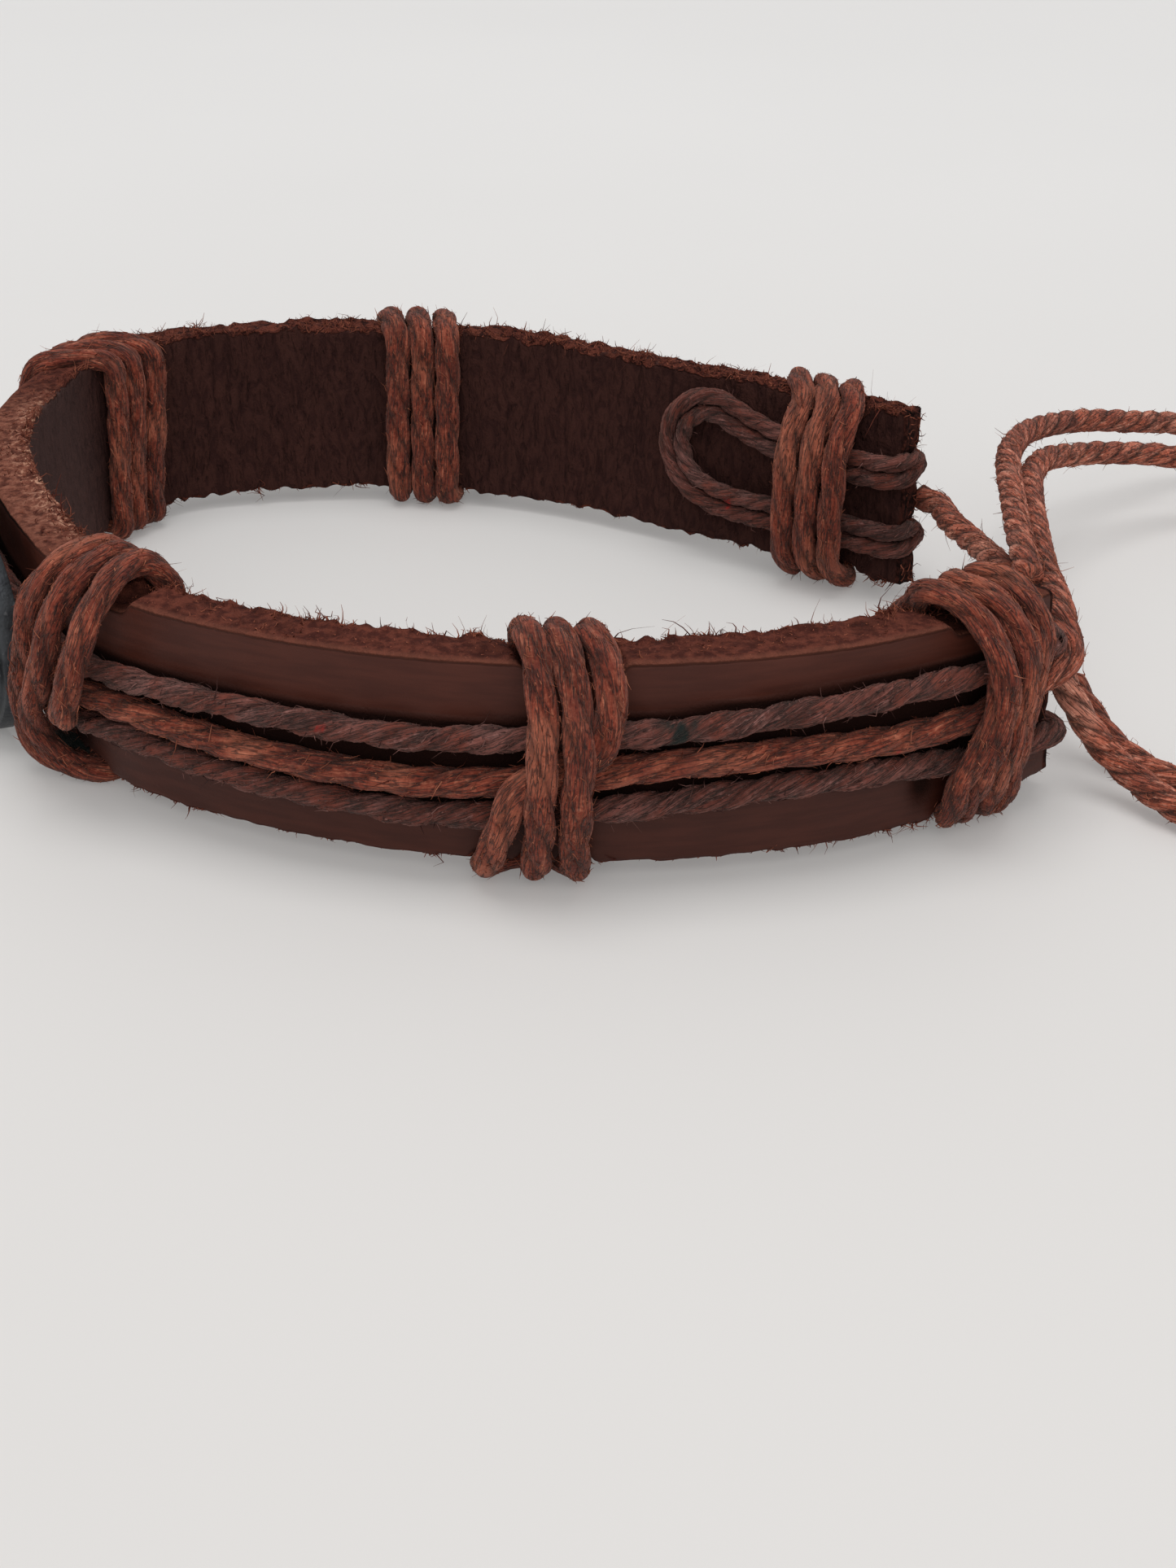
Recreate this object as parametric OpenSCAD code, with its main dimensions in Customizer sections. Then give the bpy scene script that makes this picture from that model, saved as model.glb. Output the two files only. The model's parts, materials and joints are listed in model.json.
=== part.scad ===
/* [Leather band] */
// Height of the strap, from its lower to its upper cut edge
band_w = 12; // [10:0.5:14]
// Thickness of the leather
leather_t = 3; // [2.4:0.1:3]
// Outward lean of the strap, so that its upper edge is wider than its foot
lean = 2.5; // [0:0.5:4]
// Depth of the dents that the cords press into the cut edges
dent = 0.7; // [0.5:0.1:0.9]

/* [Cords] */
// Diameter of the waxed cord
cord_d = 1.6; // [1.4:0.1:1.6]
// Gap kept between one piece and the next
gap = 0.1; // [0.1:0.05:0.15]

/* [Medallion] */
// Length of the plate along the band
plate_l = 28; // [24:1:28]
// Height of the plate
plate_h = 14.6; // [12:0.2:14.6]
// Thickness of the plate
plate_t = 1.2; // [0.8:0.1:1.4]
// Width of the raised rim around the stone
rim_w = 0.9; // [0.6:0.1:1.2]
// Height of the rim above the plate
rim_h = 0.8; // [0.5:0.1:1]
// Height of the stone's dome above the plate
dome_h = 2.4; // [1.6:0.2:3]

/* [Hidden] */
$fn = 48;

leather_brown = "#4a2a22";
cord_rust = "#8c4b32";
cord_plum = "#5f4340";
plate_grey = "#33363a";
stone_green = "#8f9a62";

cord_r = cord_d / 2;
sides = 8;

// The band's foot is this high, because the lashings below it touch the surface
foot_z = cord_d + gap - dent;
top_z = foot_z + band_w * cos(lean);

// Middle of the whole bracelet's box, seen from the point where the front run touches y = 0
middle = [-8.12, 28.83];

// The strap's middle line starts at the near cut end and runs round the wrist.
// START is x, y and heading in degrees there.
START = [26.03, 11.3, 226.5];
// One row for each stretch of the strap: bend radius, turn in degrees
RADIUS = 0;
TURN = 1;
STRETCHES = [
    [31, 33],   // near end
    [42, 48],   // front
    [12, 22],   // bend under the near lashing
    [80, 12],   // left side, lower half
    [31, 38],   // left side, upper half
    [12, 56],   // bend under the far lashing
    [35, 49],   // back
    [300, 4.8], // far end
];

// Where each stretch begins: x, y, heading, run so far
function begins(i) = i == 0 ? [START[0], START[1], START[2], 0] :
    let (b = begins(i - 1), r = STRETCHES[i - 1][RADIUS], a = STRETCHES[i - 1][TURN])
    [b[0] + r * (sin(b[2]) - sin(b[2] - a)), b[1] - r * (cos(b[2]) - cos(b[2] - a)),
     b[2] - a, b[3] + r * a * PI / 180];
BEGINS = [for (i = [0 : len(STRETCHES)]) begins(i)];
band_l = BEGINS[len(STRETCHES)][3];

// Index of the stretch that holds the run s
function stretch_of(s) = max([0, for (i = [1 : len(STRETCHES) - 1]) if (BEGINS[i][3] <= s) i]);
function heading(s) = let (c = max(0, min(band_l, s)), i = stretch_of(c))
    BEGINS[i][2] - (c - BEGINS[i][3]) / STRETCHES[i][RADIUS] * 180 / PI;

// How many steps a run between two places takes: shorter ones on a tight bend
function steps_between(a, b) = ceil((b - a) / min(run_step, STRETCHES[stretch_of((a + b) / 2)][RADIUS] / 8));
run_step = 2.9;

function on_line(s) = let (c = max(0, min(band_l, s)), i = stretch_of(c), b = BEGINS[i],
        r = STRETCHES[i][RADIUS], h = heading(c))
    [b[0] + r * (sin(b[2]) - sin(h)) + (s - c) * cos(h),
     b[1] - r * (cos(b[2]) - cos(h)) + (s - c) * sin(h)];

// The leather is shaved on its outer side towards the far end: run, depth
SHAVED = [[110, 0], [135, 0.4], [150, 0.9], [162, 1.4]];
function shaved(s, n) = lookup(s, SHAVED) * max(0, min(1, n * 2 / leather_t));

// A place on the band: s along it, n outwards from its middle, z above the surface.
// Outside, n counts as if the leather had its whole thickness.
function place(s, n, z) = let (h = heading(s), p = on_line(s), m = n - shaved(s, n) + sin(lean) * (z - foot_z))
    [p[0] - m * sin(h), p[1] + m * cos(h), z];
function outward(s) = [-sin(heading(s)), cos(heading(s)), 0];
function along(s) = [cos(heading(s)), sin(heading(s)), 0];

function unit(v) = v / norm(v);

// Tube through stations of the form [point, direction away from what the cord lies on]
module tube(stations, r, closed = false) {
    n = len(stations);
    function tangent(i) = closed ?
        unit(stations[(i + 1) % n][0] - stations[(i + n - 1) % n][0]) :
        unit(stations[min(i + 1, n - 1)][0] - stations[max(i - 1, 0)][0]);
    points = [for (i = [0 : n - 1])
        let (t = tangent(i), side = unit(cross(t, stations[i][1])), lift = cross(side, t))
        for (k = [0 : sides - 1])
            let (a = 360 * k / sides) stations[i][0] + r * (cos(a) * side + sin(a) * lift)];
    spans = closed ? n : n - 1;
    walls = [for (i = [0 : spans - 1], k = [0 : sides - 1])
        let (j = (i + 1) % n, l = (k + 1) % sides,
             a = i * sides + k, b = i * sides + l, c = j * sides + l, d = j * sides + k)
        each [[a, b, c], [a, c, d]]];
    caps = closed ? [] : [
        [for (k = [sides - 1 : -1 : 0]) k],
        [for (k = [0 : sides - 1]) (n - 1) * sides + k]];
    polyhedron(points, concat(walls, caps), convexity = 6);
}

// Heights of the three cords on the outer face: run, upper, middle, lower
LEVELS = [
    [-2, 10.4, 8.5, 4.2],
    [3, 10.2, 8.4, 4.5],
    [7, 10.1, 7.5, 4.9],
    [12, 10.2, 7.4, 5.6],
    [18, 9.9, 7.7, 5.7],
    [24, 9.4, 7.5, 5.2],
    [30, 9.1, 6.6, 4.6],
    [36, 8.7, 6.1, 4.2],
    [46, 8.9, 6.5, 4.7],
    [53, 8.8, 7.0, 5.2],
    [58, 8.5, 6.6, 4.7],
    [65, 8.6, 5.0, 2.9],
    [80, 8.8, 5.4, 2.9],
    [99, 8.4, 6.2, 4.1],
    [122, 8.6, 6.4, 4.2],
    [146, 9.2, 6.8, 4.4],
    [166, 9.2, 6.6, 4.4],
];
UPPER = 1;
MIDDLE = 2;
LOWER = 3;
function level(s, which) = lookup(s, [for (row = LEVELS) [row[0], row[which]]]);

// How far from the leather's middle a cord lies on it, and a second one over the first
on_leather = leather_t / 2 + gap + cord_r;
over_cord = on_leather + cord_d + gap;

// Lashings: run of the middle of the strands at their inner top, number of strands,
// spacing inside and outside, then how far the strands lie further along than that
// at the inner foot and at the outer top, middle and foot
AT = 0;
STRANDS = 1;
INNER_STEP = 2;
OUTER_STEP = 3;
TO_INNER_FOOT = 4;
TO_TOP = 5;
TO_MIDDLE = 6;
TO_FOOT = 7;
LASH_NEAR_END = [6.7, 4, 2.0, 1.54, -1.2, 0.5, 0.4, -0.1];
LASH_NEAR_MIDDLE = [29.4, 3, 1.85, 1.7, -0.4, 0, -0.8, 1.2];
LASH_NEAR_BEND = [55.5, 3, 2.2, 2.0, 0.3, 0.2, 1.7, 2.3];
LASH_FAR_BEND = [99.3, 3, 2.2, 2.2, -1.6, -2.4, -3.2, -0.2];
LASH_FAR_MIDDLE = [122.9, 3, 1.95, 1.95, -0.2, -1.4, -0.6, 1.3];
LASH_FAR_END = [155.8, 3, 1.9, 1.9, -0.2, -1.4, -0.6, 1.3];
LASHINGS = [LASH_NEAR_END, LASH_NEAR_MIDDLE, LASH_NEAR_BEND,
    LASH_FAR_BEND, LASH_FAR_MIDDLE, LASH_FAR_END];

function from_middle(lash, k) = k - (lash[STRANDS] - 1) / 2;
function inner_run(lash, k) = lash[AT] + from_middle(lash, k) * lash[INNER_STEP];
function outer_at(lash, k, column) = lash[AT] + lash[column] + from_middle(lash, k) * lash[OUTER_STEP];

// Heights of a strand's middle where it crosses the dented cut edges
edge_low = cord_r;
edge_high = top_z - dent + gap + cord_r;

// A lashing is one cord wound round the strap and the cords on it.
// inner is how far its strands stand off inside, where they cross the returning dark cord.
module lashing(lash, colour, inner = on_leather) {
    corner = on_leather - 0.1;
    corner_drop = 0.2;
    shoulder = leather_t / 2 - gap;
    clear_of_edge = 1.8;
    over = 0.4;
    aside = 1.4;
    function strand(k) = let (
        s = inner_run(lash, k), i = s + lash[TO_INNER_FOOT],
        t = outer_at(lash, k, TO_TOP), m = outer_at(lash, k, TO_MIDDLE), f = outer_at(lash, k, TO_FOOT),
        high = level(m, UPPER), low = level(m, LOWER), inward = -outward(s), up = [0, 0, 1])
        concat(
            [[place(i, -shoulder, edge_low), -up],
             [place(i, -corner, foot_z + corner_drop), inward - up]],
            inner == on_leather ?
                [[place(i, -inner, foot_z + clear_of_edge), inward],
                 [place(s, -inner, top_z - clear_of_edge), inward]] :
                [[place(i, over - inner, LOOP_LOW - over - aside), inward],
                 [place(i + (s - i) * 0.3, -inner, LOOP_LOW - over), inward],
                 [place(s, -inner, LOOP_HIGH + over), inward],
                 [place(s, over - inner, LOOP_HIGH + over + aside), inward]],
            [[place(s, -corner, top_z - corner_drop), inward + up],
             [place(s + (t - s) * 0.3, -shoulder, edge_high), up],
             [place(s + (t - s) * 0.8, shoulder, edge_high), up],
             [place(t, corner, top_z - corner_drop), up - inward],
             [place(t + (m - t) * 0.2, on_leather + over, top_z - aside), -inward],
             [place(t + (m - t) * 0.6, over_cord - over, high + aside), -inward],
             [place(m, over_cord, high + over), -inward],
             [place(m + (f - m) * 0.3, over_cord, low - over), -inward],
             [place(m + (f - m) * 0.7, over_cord - over, low - aside), -inward],
             [place(f, corner + 0.1, foot_z + corner_drop), -inward - up],
             [place(f, shoulder, edge_low), -up]]);
    color(colour) tube([for (k = [0 : lash[STRANDS] - 1]) each strand(k)], cord_r);
}

// Where the lashings press into the cut edges: run and depth, along the upper edge and the foot
dent_margin = cord_r + 2 * gap;
dent_slope = 0.4;
function dent_rows(runs) = [[min(runs) - dent_margin - dent_slope, 0], [min(runs) - dent_margin, dent],
    [max(runs) + dent_margin, dent], [max(runs) + dent_margin + dent_slope, 0]];
UPPER_DENTS = [for (lash = LASHINGS) each dent_rows([for (k = [0 : lash[STRANDS] - 1])
    each [inner_run(lash, k), outer_at(lash, k, TO_TOP)]])];
FOOT_DENTS = [for (lash = LASHINGS) each dent_rows([for (k = [0 : lash[STRANDS] - 1])
    each [inner_run(lash, k) + lash[TO_INNER_FOOT], outer_at(lash, k, TO_FOOT)]])];

function sorted(list) = len(list) < 2 ? list : let (pivot = list[floor(len(list) / 2)])
    concat(sorted([for (v = list) if (v < pivot) v]), [pivot],
        sorted([for (v = list) if (v > pivot) v]));

// The cut ends slant back towards the upper edge by this much
NEAR_SLANT = 2;
FAR_SLANT = 0.6;
slant_reach = 4;
function slanted(s, z) = s + (z - foot_z) / (top_z - foot_z) *
    lookup(s, [[0, NEAR_SLANT], [slant_reach, 0], [band_l - slant_reach, 0], [band_l, -FAR_SLANT]]);

// Section of the strap at run s, with its corners eased
ease = 0.3;
function section(s) = let (half = leather_t / 2,
        low = foot_z + lookup(s, FOOT_DENTS), high = top_z - lookup(s, UPPER_DENTS))
    [for (c = [[half, low + ease], [half, high - ease], [half - ease, high], [ease - half, high],
               [-half, high - ease], [-half, low + ease], [ease - half, low], [half - ease, low]])
        place(slanted(s, c[1]), c[0], c[1])];

// Runs of the strap's sections: the ends of every dent, and steps between them
KEYS = sorted(concat([0, band_l], [for (row = UPPER_DENTS) row[0]], [for (row = FOOT_DENTS) row[0]],
    [for (i = [1 : len(STRETCHES) - 1]) BEGINS[i][3]]));
RUNS = [for (i = [0 : len(KEYS) - 2]) let (n = steps_between(KEYS[i], KEYS[i + 1]))
    each [for (k = [0 : n - 1]) KEYS[i] + (KEYS[i + 1] - KEYS[i]) * k / n], band_l];

module strap() {
    n = len(RUNS);
    m = len(section(0));
    walls = [for (i = [0 : n - 2], k = [0 : m - 1])
        let (l = (k + 1) % m, a = i * m + k, b = i * m + l, c = (i + 1) * m + l, d = (i + 1) * m + k)
        each [[a, c, b], [a, d, c]]];
    caps = [[for (k = [0 : m - 1]) k], [for (k = [m - 1 : -1 : 0]) (n - 1) * m + k]];
    polyhedron([for (s = RUNS) each section(s)], concat(walls, caps), convexity = 8);
}

// Where a dark cord turns over a cut end it bites into the leather
end_bite = 1;
module end_notch(s, z) {
    p = place(s, 0, z);
    reach = leather_t + 4;
    wide = cord_d + 2 * gap + 0.1;
    translate([p[0], p[1], z - wide / 2])
        rotate([0, 0, heading(s)])
        translate([-end_bite, -reach / 2, 0])
            cube([2 * end_bite, reach, wide]);
}

module leather_band() {
    color(leather_brown) difference() {
        strap();
        for (s = [0, band_l], which = [UPPER, LOWER])
            end_notch(slanted(s, level(s, which)), level(s, which));
    }
}

// Stations of a cord that lies on the outer face between the runs a and b
function outer_run(which, a, b) = let (
        keys = concat([a], [for (i = [1 : len(STRETCHES) - 1]) BEGINS[i][3]], [b]),
        runs = [for (i = [0 : len(keys) - 2]) let (n = steps_between(keys[i], keys[i + 1]))
            each [for (k = [0 : n - 1]) keys[i] + (keys[i + 1] - keys[i]) * k / n], b])
    [for (s = runs) [place(s, on_leather, level(s, which)), outward(s)]];

// Turn over a cut end, from the outer face to the inner: way is 1 at the far end, -1 at the near one
function end_turn(end, z, way) = let (out = way * along(end), n = outward(end),
        s = slanted(end, z) + way * (gap + cord_r - end_bite))
    [[place(s - way * 0.3, on_leather - 0.15, z), out + n],
     [place(s, on_leather - 1.1, z), out],
     [place(s, 1.1 - on_leather, z), out],
     [place(s - way * 0.3, 0.15 - on_leather, z), out - n]];

// Loop of the dark cord on the inner face: how far in from the cut end, and the height.
// It leaves the upper turn and comes back to the lower one.
LOOP_HIGH = 9.4;
LOOP_LOW = 4.3;
LOOP = [
    [1.8, 9.1], [4.2, 9.1], [7.4, 9.2], [10.3, 9.6], [13, 10.4], [15.4, 11.2], [17.4, 10.6],
    [18.5, 9], [18.4, 7.2], [17.4, 5.6], [15.4, 4.7], [13, 4.4], [10.3, 4.4], [7.4, 4.4],
    [4.2, 4.4], [1.8, 4.4],
];
function inner_loop(s, way) = [for (p = LOOP) let (run = s - way * p[0])
    [place(run, -on_leather, p[1]), -outward(run)]];

function reversed(list) = [for (i = [len(list) - 1 : -1 : 0]) list[i]];

// Runs between which a dark cord lies on the outer face at one of its two heights
function starts(which) = slanted(0, level(0, which)) + 1.2;
function stops(which) = slanted(band_l, level(band_l, which)) - 1.2;
module dark_cord() {
    far = concat(end_turn(band_l, level(band_l, UPPER), 1), inner_loop(band_l, 1),
        reversed(end_turn(band_l, level(band_l, LOWER), 1)));
    near = concat(end_turn(0, level(0, LOWER), -1), reversed(inner_loop(0, -1)),
        reversed(end_turn(0, level(0, UPPER), -1)));
    color(cord_plum) tube(concat(
        outer_run(UPPER, starts(UPPER), stops(UPPER)), far,
        reversed(outer_run(LOWER, starts(LOWER), stops(LOWER))), near), cord_r, closed = true);
}

// The middle cord stops under the near lashing, and just before the far cut end
MIDDLE_FROM = 5.8;
MIDDLE_TO = band_l - 0.8;
module middle_cord() {
    color(cord_rust) tube(outer_run(MIDDLE, MIDDLE_FROM, MIDDLE_TO), cord_r);
}

// The medallion follows one arc outside the band's left side.
// It is placed by the run of its middle and its distance from the strap's middle line.
plate_at = 75;
plate_bend = 48;
plate_clearance = 1;
plate_off = over_cord - cord_r + gap + plate_clearance;
module on_medallion() {
    p = place(plate_at, plate_off, foot_z);
    translate([p[0], p[1], 0])
        rotate([0, 0, heading(plate_at) + 90])
            children();
}

// Curved shell from height low to height high above the medallion's inner face, cut to a rounded outline
module curved_slab(low, high, length, height) {
    intersection() {
        translate([-plate_bend, 0, -5]) difference() {
            cylinder(h = 30, r = plate_bend + high, $fn = 180);
            translate([0, 0, -1]) cylinder(h = 32, r = plate_bend + low, $fn = 180);
        }
        translate([-10, 0, plate_h / 2 + 0.1]) rotate([90, 0, 90])
            linear_extrude(20) rounded_outline(length, height);
    }
}

module rounded_outline(length, height) {
    corner = height * 0.42;
    union() {
        square([length - 2 * corner, height], center = true);
        square([length, height - 2 * corner], center = true);
        for (x = [-1, 1], y = [-1, 1])
            translate([x * (length / 2 - corner), y * (height / 2 - corner)]) circle(corner);
    }
}

module medallion_plate() {
    color(plate_grey) on_medallion() union() {
        curved_slab(0, plate_t, plate_l, plate_h);
        difference() {
            curved_slab(plate_t - 0.2, plate_t + rim_h, plate_l - 1.2, plate_h - 1.2);
            curved_slab(plate_t - 0.5, plate_t + rim_h + 1,
                plate_l - 1.2 - 2 * rim_w, plate_h - 1.2 - 2 * rim_w);
        }
    }
}

module medallion_stone() {
    inset = 1.2 + 2 * rim_w + 2 * gap;
    color(stone_green) on_medallion() union() {
        curved_slab(plate_t + gap, plate_t + dome_h * 0.5, plate_l - inset, plate_h - inset);
        curved_slab(plate_t + dome_h * 0.4, plate_t + dome_h * 0.8,
            plate_l - inset - 1.6, plate_h - inset - 1.6);
        curved_slab(plate_t + dome_h * 0.7, plate_t + dome_h,
            plate_l - inset - 4, plate_h - inset - 4);
    }
}

// Routes of the two free cords. The near one carries the middle cord on past the near end,
// curls up and runs out as a loop over the surface, back to the near end.
// The far one carries it on past the far end, crosses to the near end behind the curl,
// and runs outside the near one's loop, back to the near end.
NEAR_ROUTE = [
    [27.3, 10.5, 9.9], [27.4, 12.2, 10.2], [27.5, 15.4, 10.2], [27.8, 20, 10], [28.4, 25.6, 9.8],
    [29.2, 31, 9.4], [30.2, 36.6, 8.9], [32.2, 41.8, 8.2], [35.4, 45.6, 7.2], [39.4, 48.8, 6.1],
    [43.8, 50.8, 5], [48.4, 50.6, 3.6], [52.8, 48.4, 1.8], [56.4, 44.2, 0.9], [59.2, 38.8, 0.8],
    [60.8, 32.6, 0.8], [61.2, 26.2, 0.8], [60.2, 20, 0.8], [57.6, 14.4, 0.8], [53.4, 10, 0.8],
    [48.2, 7.2, 0.8], [42.8, 6.4, 0.8], [38.2, 7.4, 0.8], [34.4, 9.4, 0.8], [31.6, 11.9, 1.6],
    [30, 13.8, 3.2], [28.8, 14.8, 5],
];
FAR_ROUTE = [
    [24, 38.3, 6.5], [24.5, 37.2, 6.5], [24.6, 36, 6.6], [24.7, 33.8, 6.8], [25.6, 29.6, 7.1],
    [26.4, 23, 7.9], [26.7, 18.4, 8.2], [26.8, 15.8, 7.8], [27.1, 13.7, 7.1], [27.8, 12.2, 6.2],
    [28.5, 11.1, 5], [29.6, 10, 3.4],
    [31.3, 8.4, 2], [33.5, 5.6, 1.2], [37.4, 2.8, 0.9], [42.2, 1.2, 0.8], [47.6, 1, 0.8],
    [53, 2.5, 0.8], [58, 5.8, 0.8], [61.8, 10.6, 0.8], [64.4, 16.8, 0.8], [65.7, 25.2, 0.8],
    [65.4, 33.6, 0.8], [64.2, 40, 0.8], [62.3, 45.6, 0.8], [59.8, 50.6, 1],
    [56.6, 54.8, 1.8], [52.8, 57.8, 2.8], [48.8, 59.2, 3.9], [45.2, 58.6, 4.9], [41.6, 56.1, 5.9],
    [37.6, 53.2, 7], [34.2, 49.8, 7.9], [31.5, 45.8, 8.7], [29.7, 41.2, 9.3], [28.6, 36.6, 9.9],
    [27.4, 28.2, 10.7], [26.5, 20.4, 11.1], [26.1, 14.8, 10.9],
];
near_start = MIDDLE_FROM - 2 * gap;
near_route = concat([for (s = [near_start, 4, 2.6]) place(s, on_leather, level(s, MIDDLE))],
    [place(1, on_leather + 0.2, 9)], NEAR_ROUTE);
far_route = concat([place(MIDDLE_TO + 2 * gap, on_leather + gap, level(MIDDLE_TO, MIDDLE))], FAR_ROUTE);
rises = [-0.55, -0.2, 0.8];

module tie_cord(route) {
    color(cord_rust) tube([for (p = route) [p, rises]], cord_r);
}

module centred() {
    translate([-middle[0], -middle[1], 0]) children();
}

centred() leather_band();
centred() lashing(LASH_NEAR_END, cord_rust, over_cord);  // lashing_near_end
centred() lashing(LASH_NEAR_MIDDLE, cord_rust);  // lashing_near_middle
centred() lashing(LASH_NEAR_BEND, cord_rust);  // lashing_near_bend
centred() lashing(LASH_FAR_BEND, cord_rust);  // lashing_far_bend
centred() lashing(LASH_FAR_MIDDLE, cord_rust);  // lashing_far_middle
centred() lashing(LASH_FAR_END, cord_rust, over_cord);  // lashing_far_end
centred() dark_cord();
centred() middle_cord();
centred() medallion_plate();
centred() medallion_stone();
centred() tie_cord(near_route);  // tie_cord_near
centred() tie_cord(far_route);  // tie_cord_far
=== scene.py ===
"""Leather strap bracelet with cord lashings, two ties and a set stone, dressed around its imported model."""
import itertools
import json
import math
from collections import namedtuple

import bmesh
import bpy
import numpy as np
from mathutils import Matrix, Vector

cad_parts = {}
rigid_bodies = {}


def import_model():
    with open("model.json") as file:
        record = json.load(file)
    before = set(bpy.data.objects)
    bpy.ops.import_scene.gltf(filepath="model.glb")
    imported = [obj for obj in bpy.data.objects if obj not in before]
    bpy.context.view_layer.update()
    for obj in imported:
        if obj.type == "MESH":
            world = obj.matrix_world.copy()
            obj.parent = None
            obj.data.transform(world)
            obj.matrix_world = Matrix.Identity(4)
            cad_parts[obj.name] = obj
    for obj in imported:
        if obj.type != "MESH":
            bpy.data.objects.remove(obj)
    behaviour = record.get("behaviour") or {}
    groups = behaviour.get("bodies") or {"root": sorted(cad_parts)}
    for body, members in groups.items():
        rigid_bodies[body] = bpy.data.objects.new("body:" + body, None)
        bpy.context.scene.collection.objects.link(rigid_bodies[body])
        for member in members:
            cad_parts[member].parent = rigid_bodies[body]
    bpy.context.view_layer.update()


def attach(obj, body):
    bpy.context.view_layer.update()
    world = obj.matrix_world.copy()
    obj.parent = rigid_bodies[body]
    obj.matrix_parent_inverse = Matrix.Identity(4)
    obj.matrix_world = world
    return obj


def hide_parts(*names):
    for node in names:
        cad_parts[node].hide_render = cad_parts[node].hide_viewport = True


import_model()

bl_info = {
    "name": "Leather Strap Bracelet",
    "version": (1, 0, 0),
    "blender": (4, 5, 0),
    "location": "View3D > Sidebar > Bracelet",
    "description": "Leather strap bracelet with cord lashings, ties and a set stone",
    "category": "Object",
}

MM = 0.001
BODY = "root"
UP = np.array([0.0, 0.0, 1.0])

# Lengths below are millimetres until a mesh is made. The strap's middle line starts at the near
# cut end, at START's x, y and heading, and runs round the wrist in stretches of a radius and a
# turn in degrees. The frame's origin lies at MIDDLE.
MIDDLE = np.array([-8.12, 28.83, 0.0])
START = (26.03, 11.3, 226.5)
STRETCHES = ((31, 33), (42, 48), (12, 22), (80, 12), (31, 38), (12, 56), (35, 49), (300, 4.8))
TILT = math.radians(2.5)
STRAP_WIDTH = 12
STRAP_HEIGHT = STRAP_WIDTH * math.cos(TILT)
LEAN = math.sin(TILT)
FOOT_Z = 1.0
TOP_Z = FOOT_Z + STRAP_HEIGHT
HALF_LEATHER = 1.5
CORD_R = 0.8
GAP = 0.1
DENT = 0.7
ON_LEATHER = HALF_LEATHER + GAP + CORD_R
OVER_CORD = ON_LEATHER + 2 * CORD_R + GAP

# Heights of the three cords on the outer face: run, upper, middle, lower
LEVELS = np.array((
    (-2, 10.4, 8.5, 4.2), (3, 10.2, 8.4, 4.5), (7, 10.1, 7.5, 4.9), (12, 10.2, 7.4, 5.6),
    (18, 9.9, 7.7, 5.7), (24, 9.4, 7.5, 5.2), (30, 9.1, 6.6, 4.6), (36, 8.7, 6.1, 4.2),
    (46, 8.9, 6.5, 4.7), (53, 8.8, 7.0, 5.2), (58, 8.5, 6.6, 4.7), (65, 8.6, 5.0, 2.9),
    (80, 8.8, 5.4, 2.9), (99, 8.4, 6.2, 4.1), (122, 8.6, 6.4, 4.2), (146, 9.2, 6.8, 4.4),
    (166, 9.2, 6.6, 4.4)))
UPPER, MIDDLE_CORD, LOWER = 1, 2, 3


def strap_starts():
    """Where each stretch of the strap begins: x, y, heading, run so far"""
    rows = [(*START, 0.0)]
    for radius, turn in STRETCHES:
        x, y, h, run = rows[-1]
        a, b = math.radians(h), math.radians(h - turn)
        rows.append((x + radius * (math.sin(a) - math.sin(b)),
                     y - radius * (math.cos(a) - math.cos(b)),
                     h - turn, run + radius * math.radians(turn)))
    return np.array(rows)


BEGINS = strap_starts()
BAND_L = BEGINS[-1][3]
RADII = np.array([radius for radius, turn in STRETCHES], float)

# The leather is shaved on its outer side towards the far end: runs and depths there
SHAVED = ((110, 135, 150, 162), (0, 0.4, 0.9, 1.4))
# The cut ends slant back towards the upper edge: runs, and how far there
SLANT = ((0, 4, BAND_L - 4, BAND_L), (2.0, 0, 0, -0.6))


def on_strap(s):
    """Point on the strap's middle line and heading in radians, for each run"""
    s = np.asarray(s, float)
    inside = np.clip(s, 0, BAND_L)
    i = np.clip(np.searchsorted(BEGINS[:, 3], inside, side="right") - 1, 0, len(RADII) - 1)
    x, y, start, run = BEGINS[i].T
    first = np.radians(start)
    heading = first - (inside - run) / RADII[i]
    px = x + RADII[i] * (np.sin(first) - np.sin(heading)) + (s - inside) * np.cos(heading)
    py = y - RADII[i] * (np.cos(first) - np.cos(heading)) + (s - inside) * np.sin(heading)
    return px, py, heading


def place(s, n, z):
    """Points on the strap: s along it, n outwards from its middle, z above the surface"""
    s, n, z = np.broadcast_arrays(np.asarray(s, float), n, z)
    px, py, heading = on_strap(s)
    m = n - np.interp(s, *SHAVED) * np.clip(n / HALF_LEATHER, 0, 1) + LEAN * (z - FOOT_Z)
    return np.stack([px - m * np.sin(heading), py + m * np.cos(heading), z * 1.0], axis=-1)


def outward(s):
    heading = on_strap(s)[2]
    return np.stack([-np.sin(heading), np.cos(heading), 0 * heading], axis=-1)


def along(s):
    heading = on_strap(s)[2]
    return np.stack([np.cos(heading), np.sin(heading), 0 * heading], axis=-1)


def level(s, which):
    return np.interp(s, LEVELS[:, 0], LEVELS[:, which])


def slanted(s, z):
    """Run of a section's point, with the slant of the cut ends"""
    return s + (z - FOOT_Z) / STRAP_HEIGHT * np.interp(s, *SLANT)


def to_frame(points):
    """Millimetres round the strap's drawing to metres in the model's frame"""
    return (np.asarray(points, float) - MIDDLE) * MM


# Steady random values, so that every run gives the same mesh. NOISE_START keeps cells above zero.
NOISE_START = 4096.5


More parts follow.
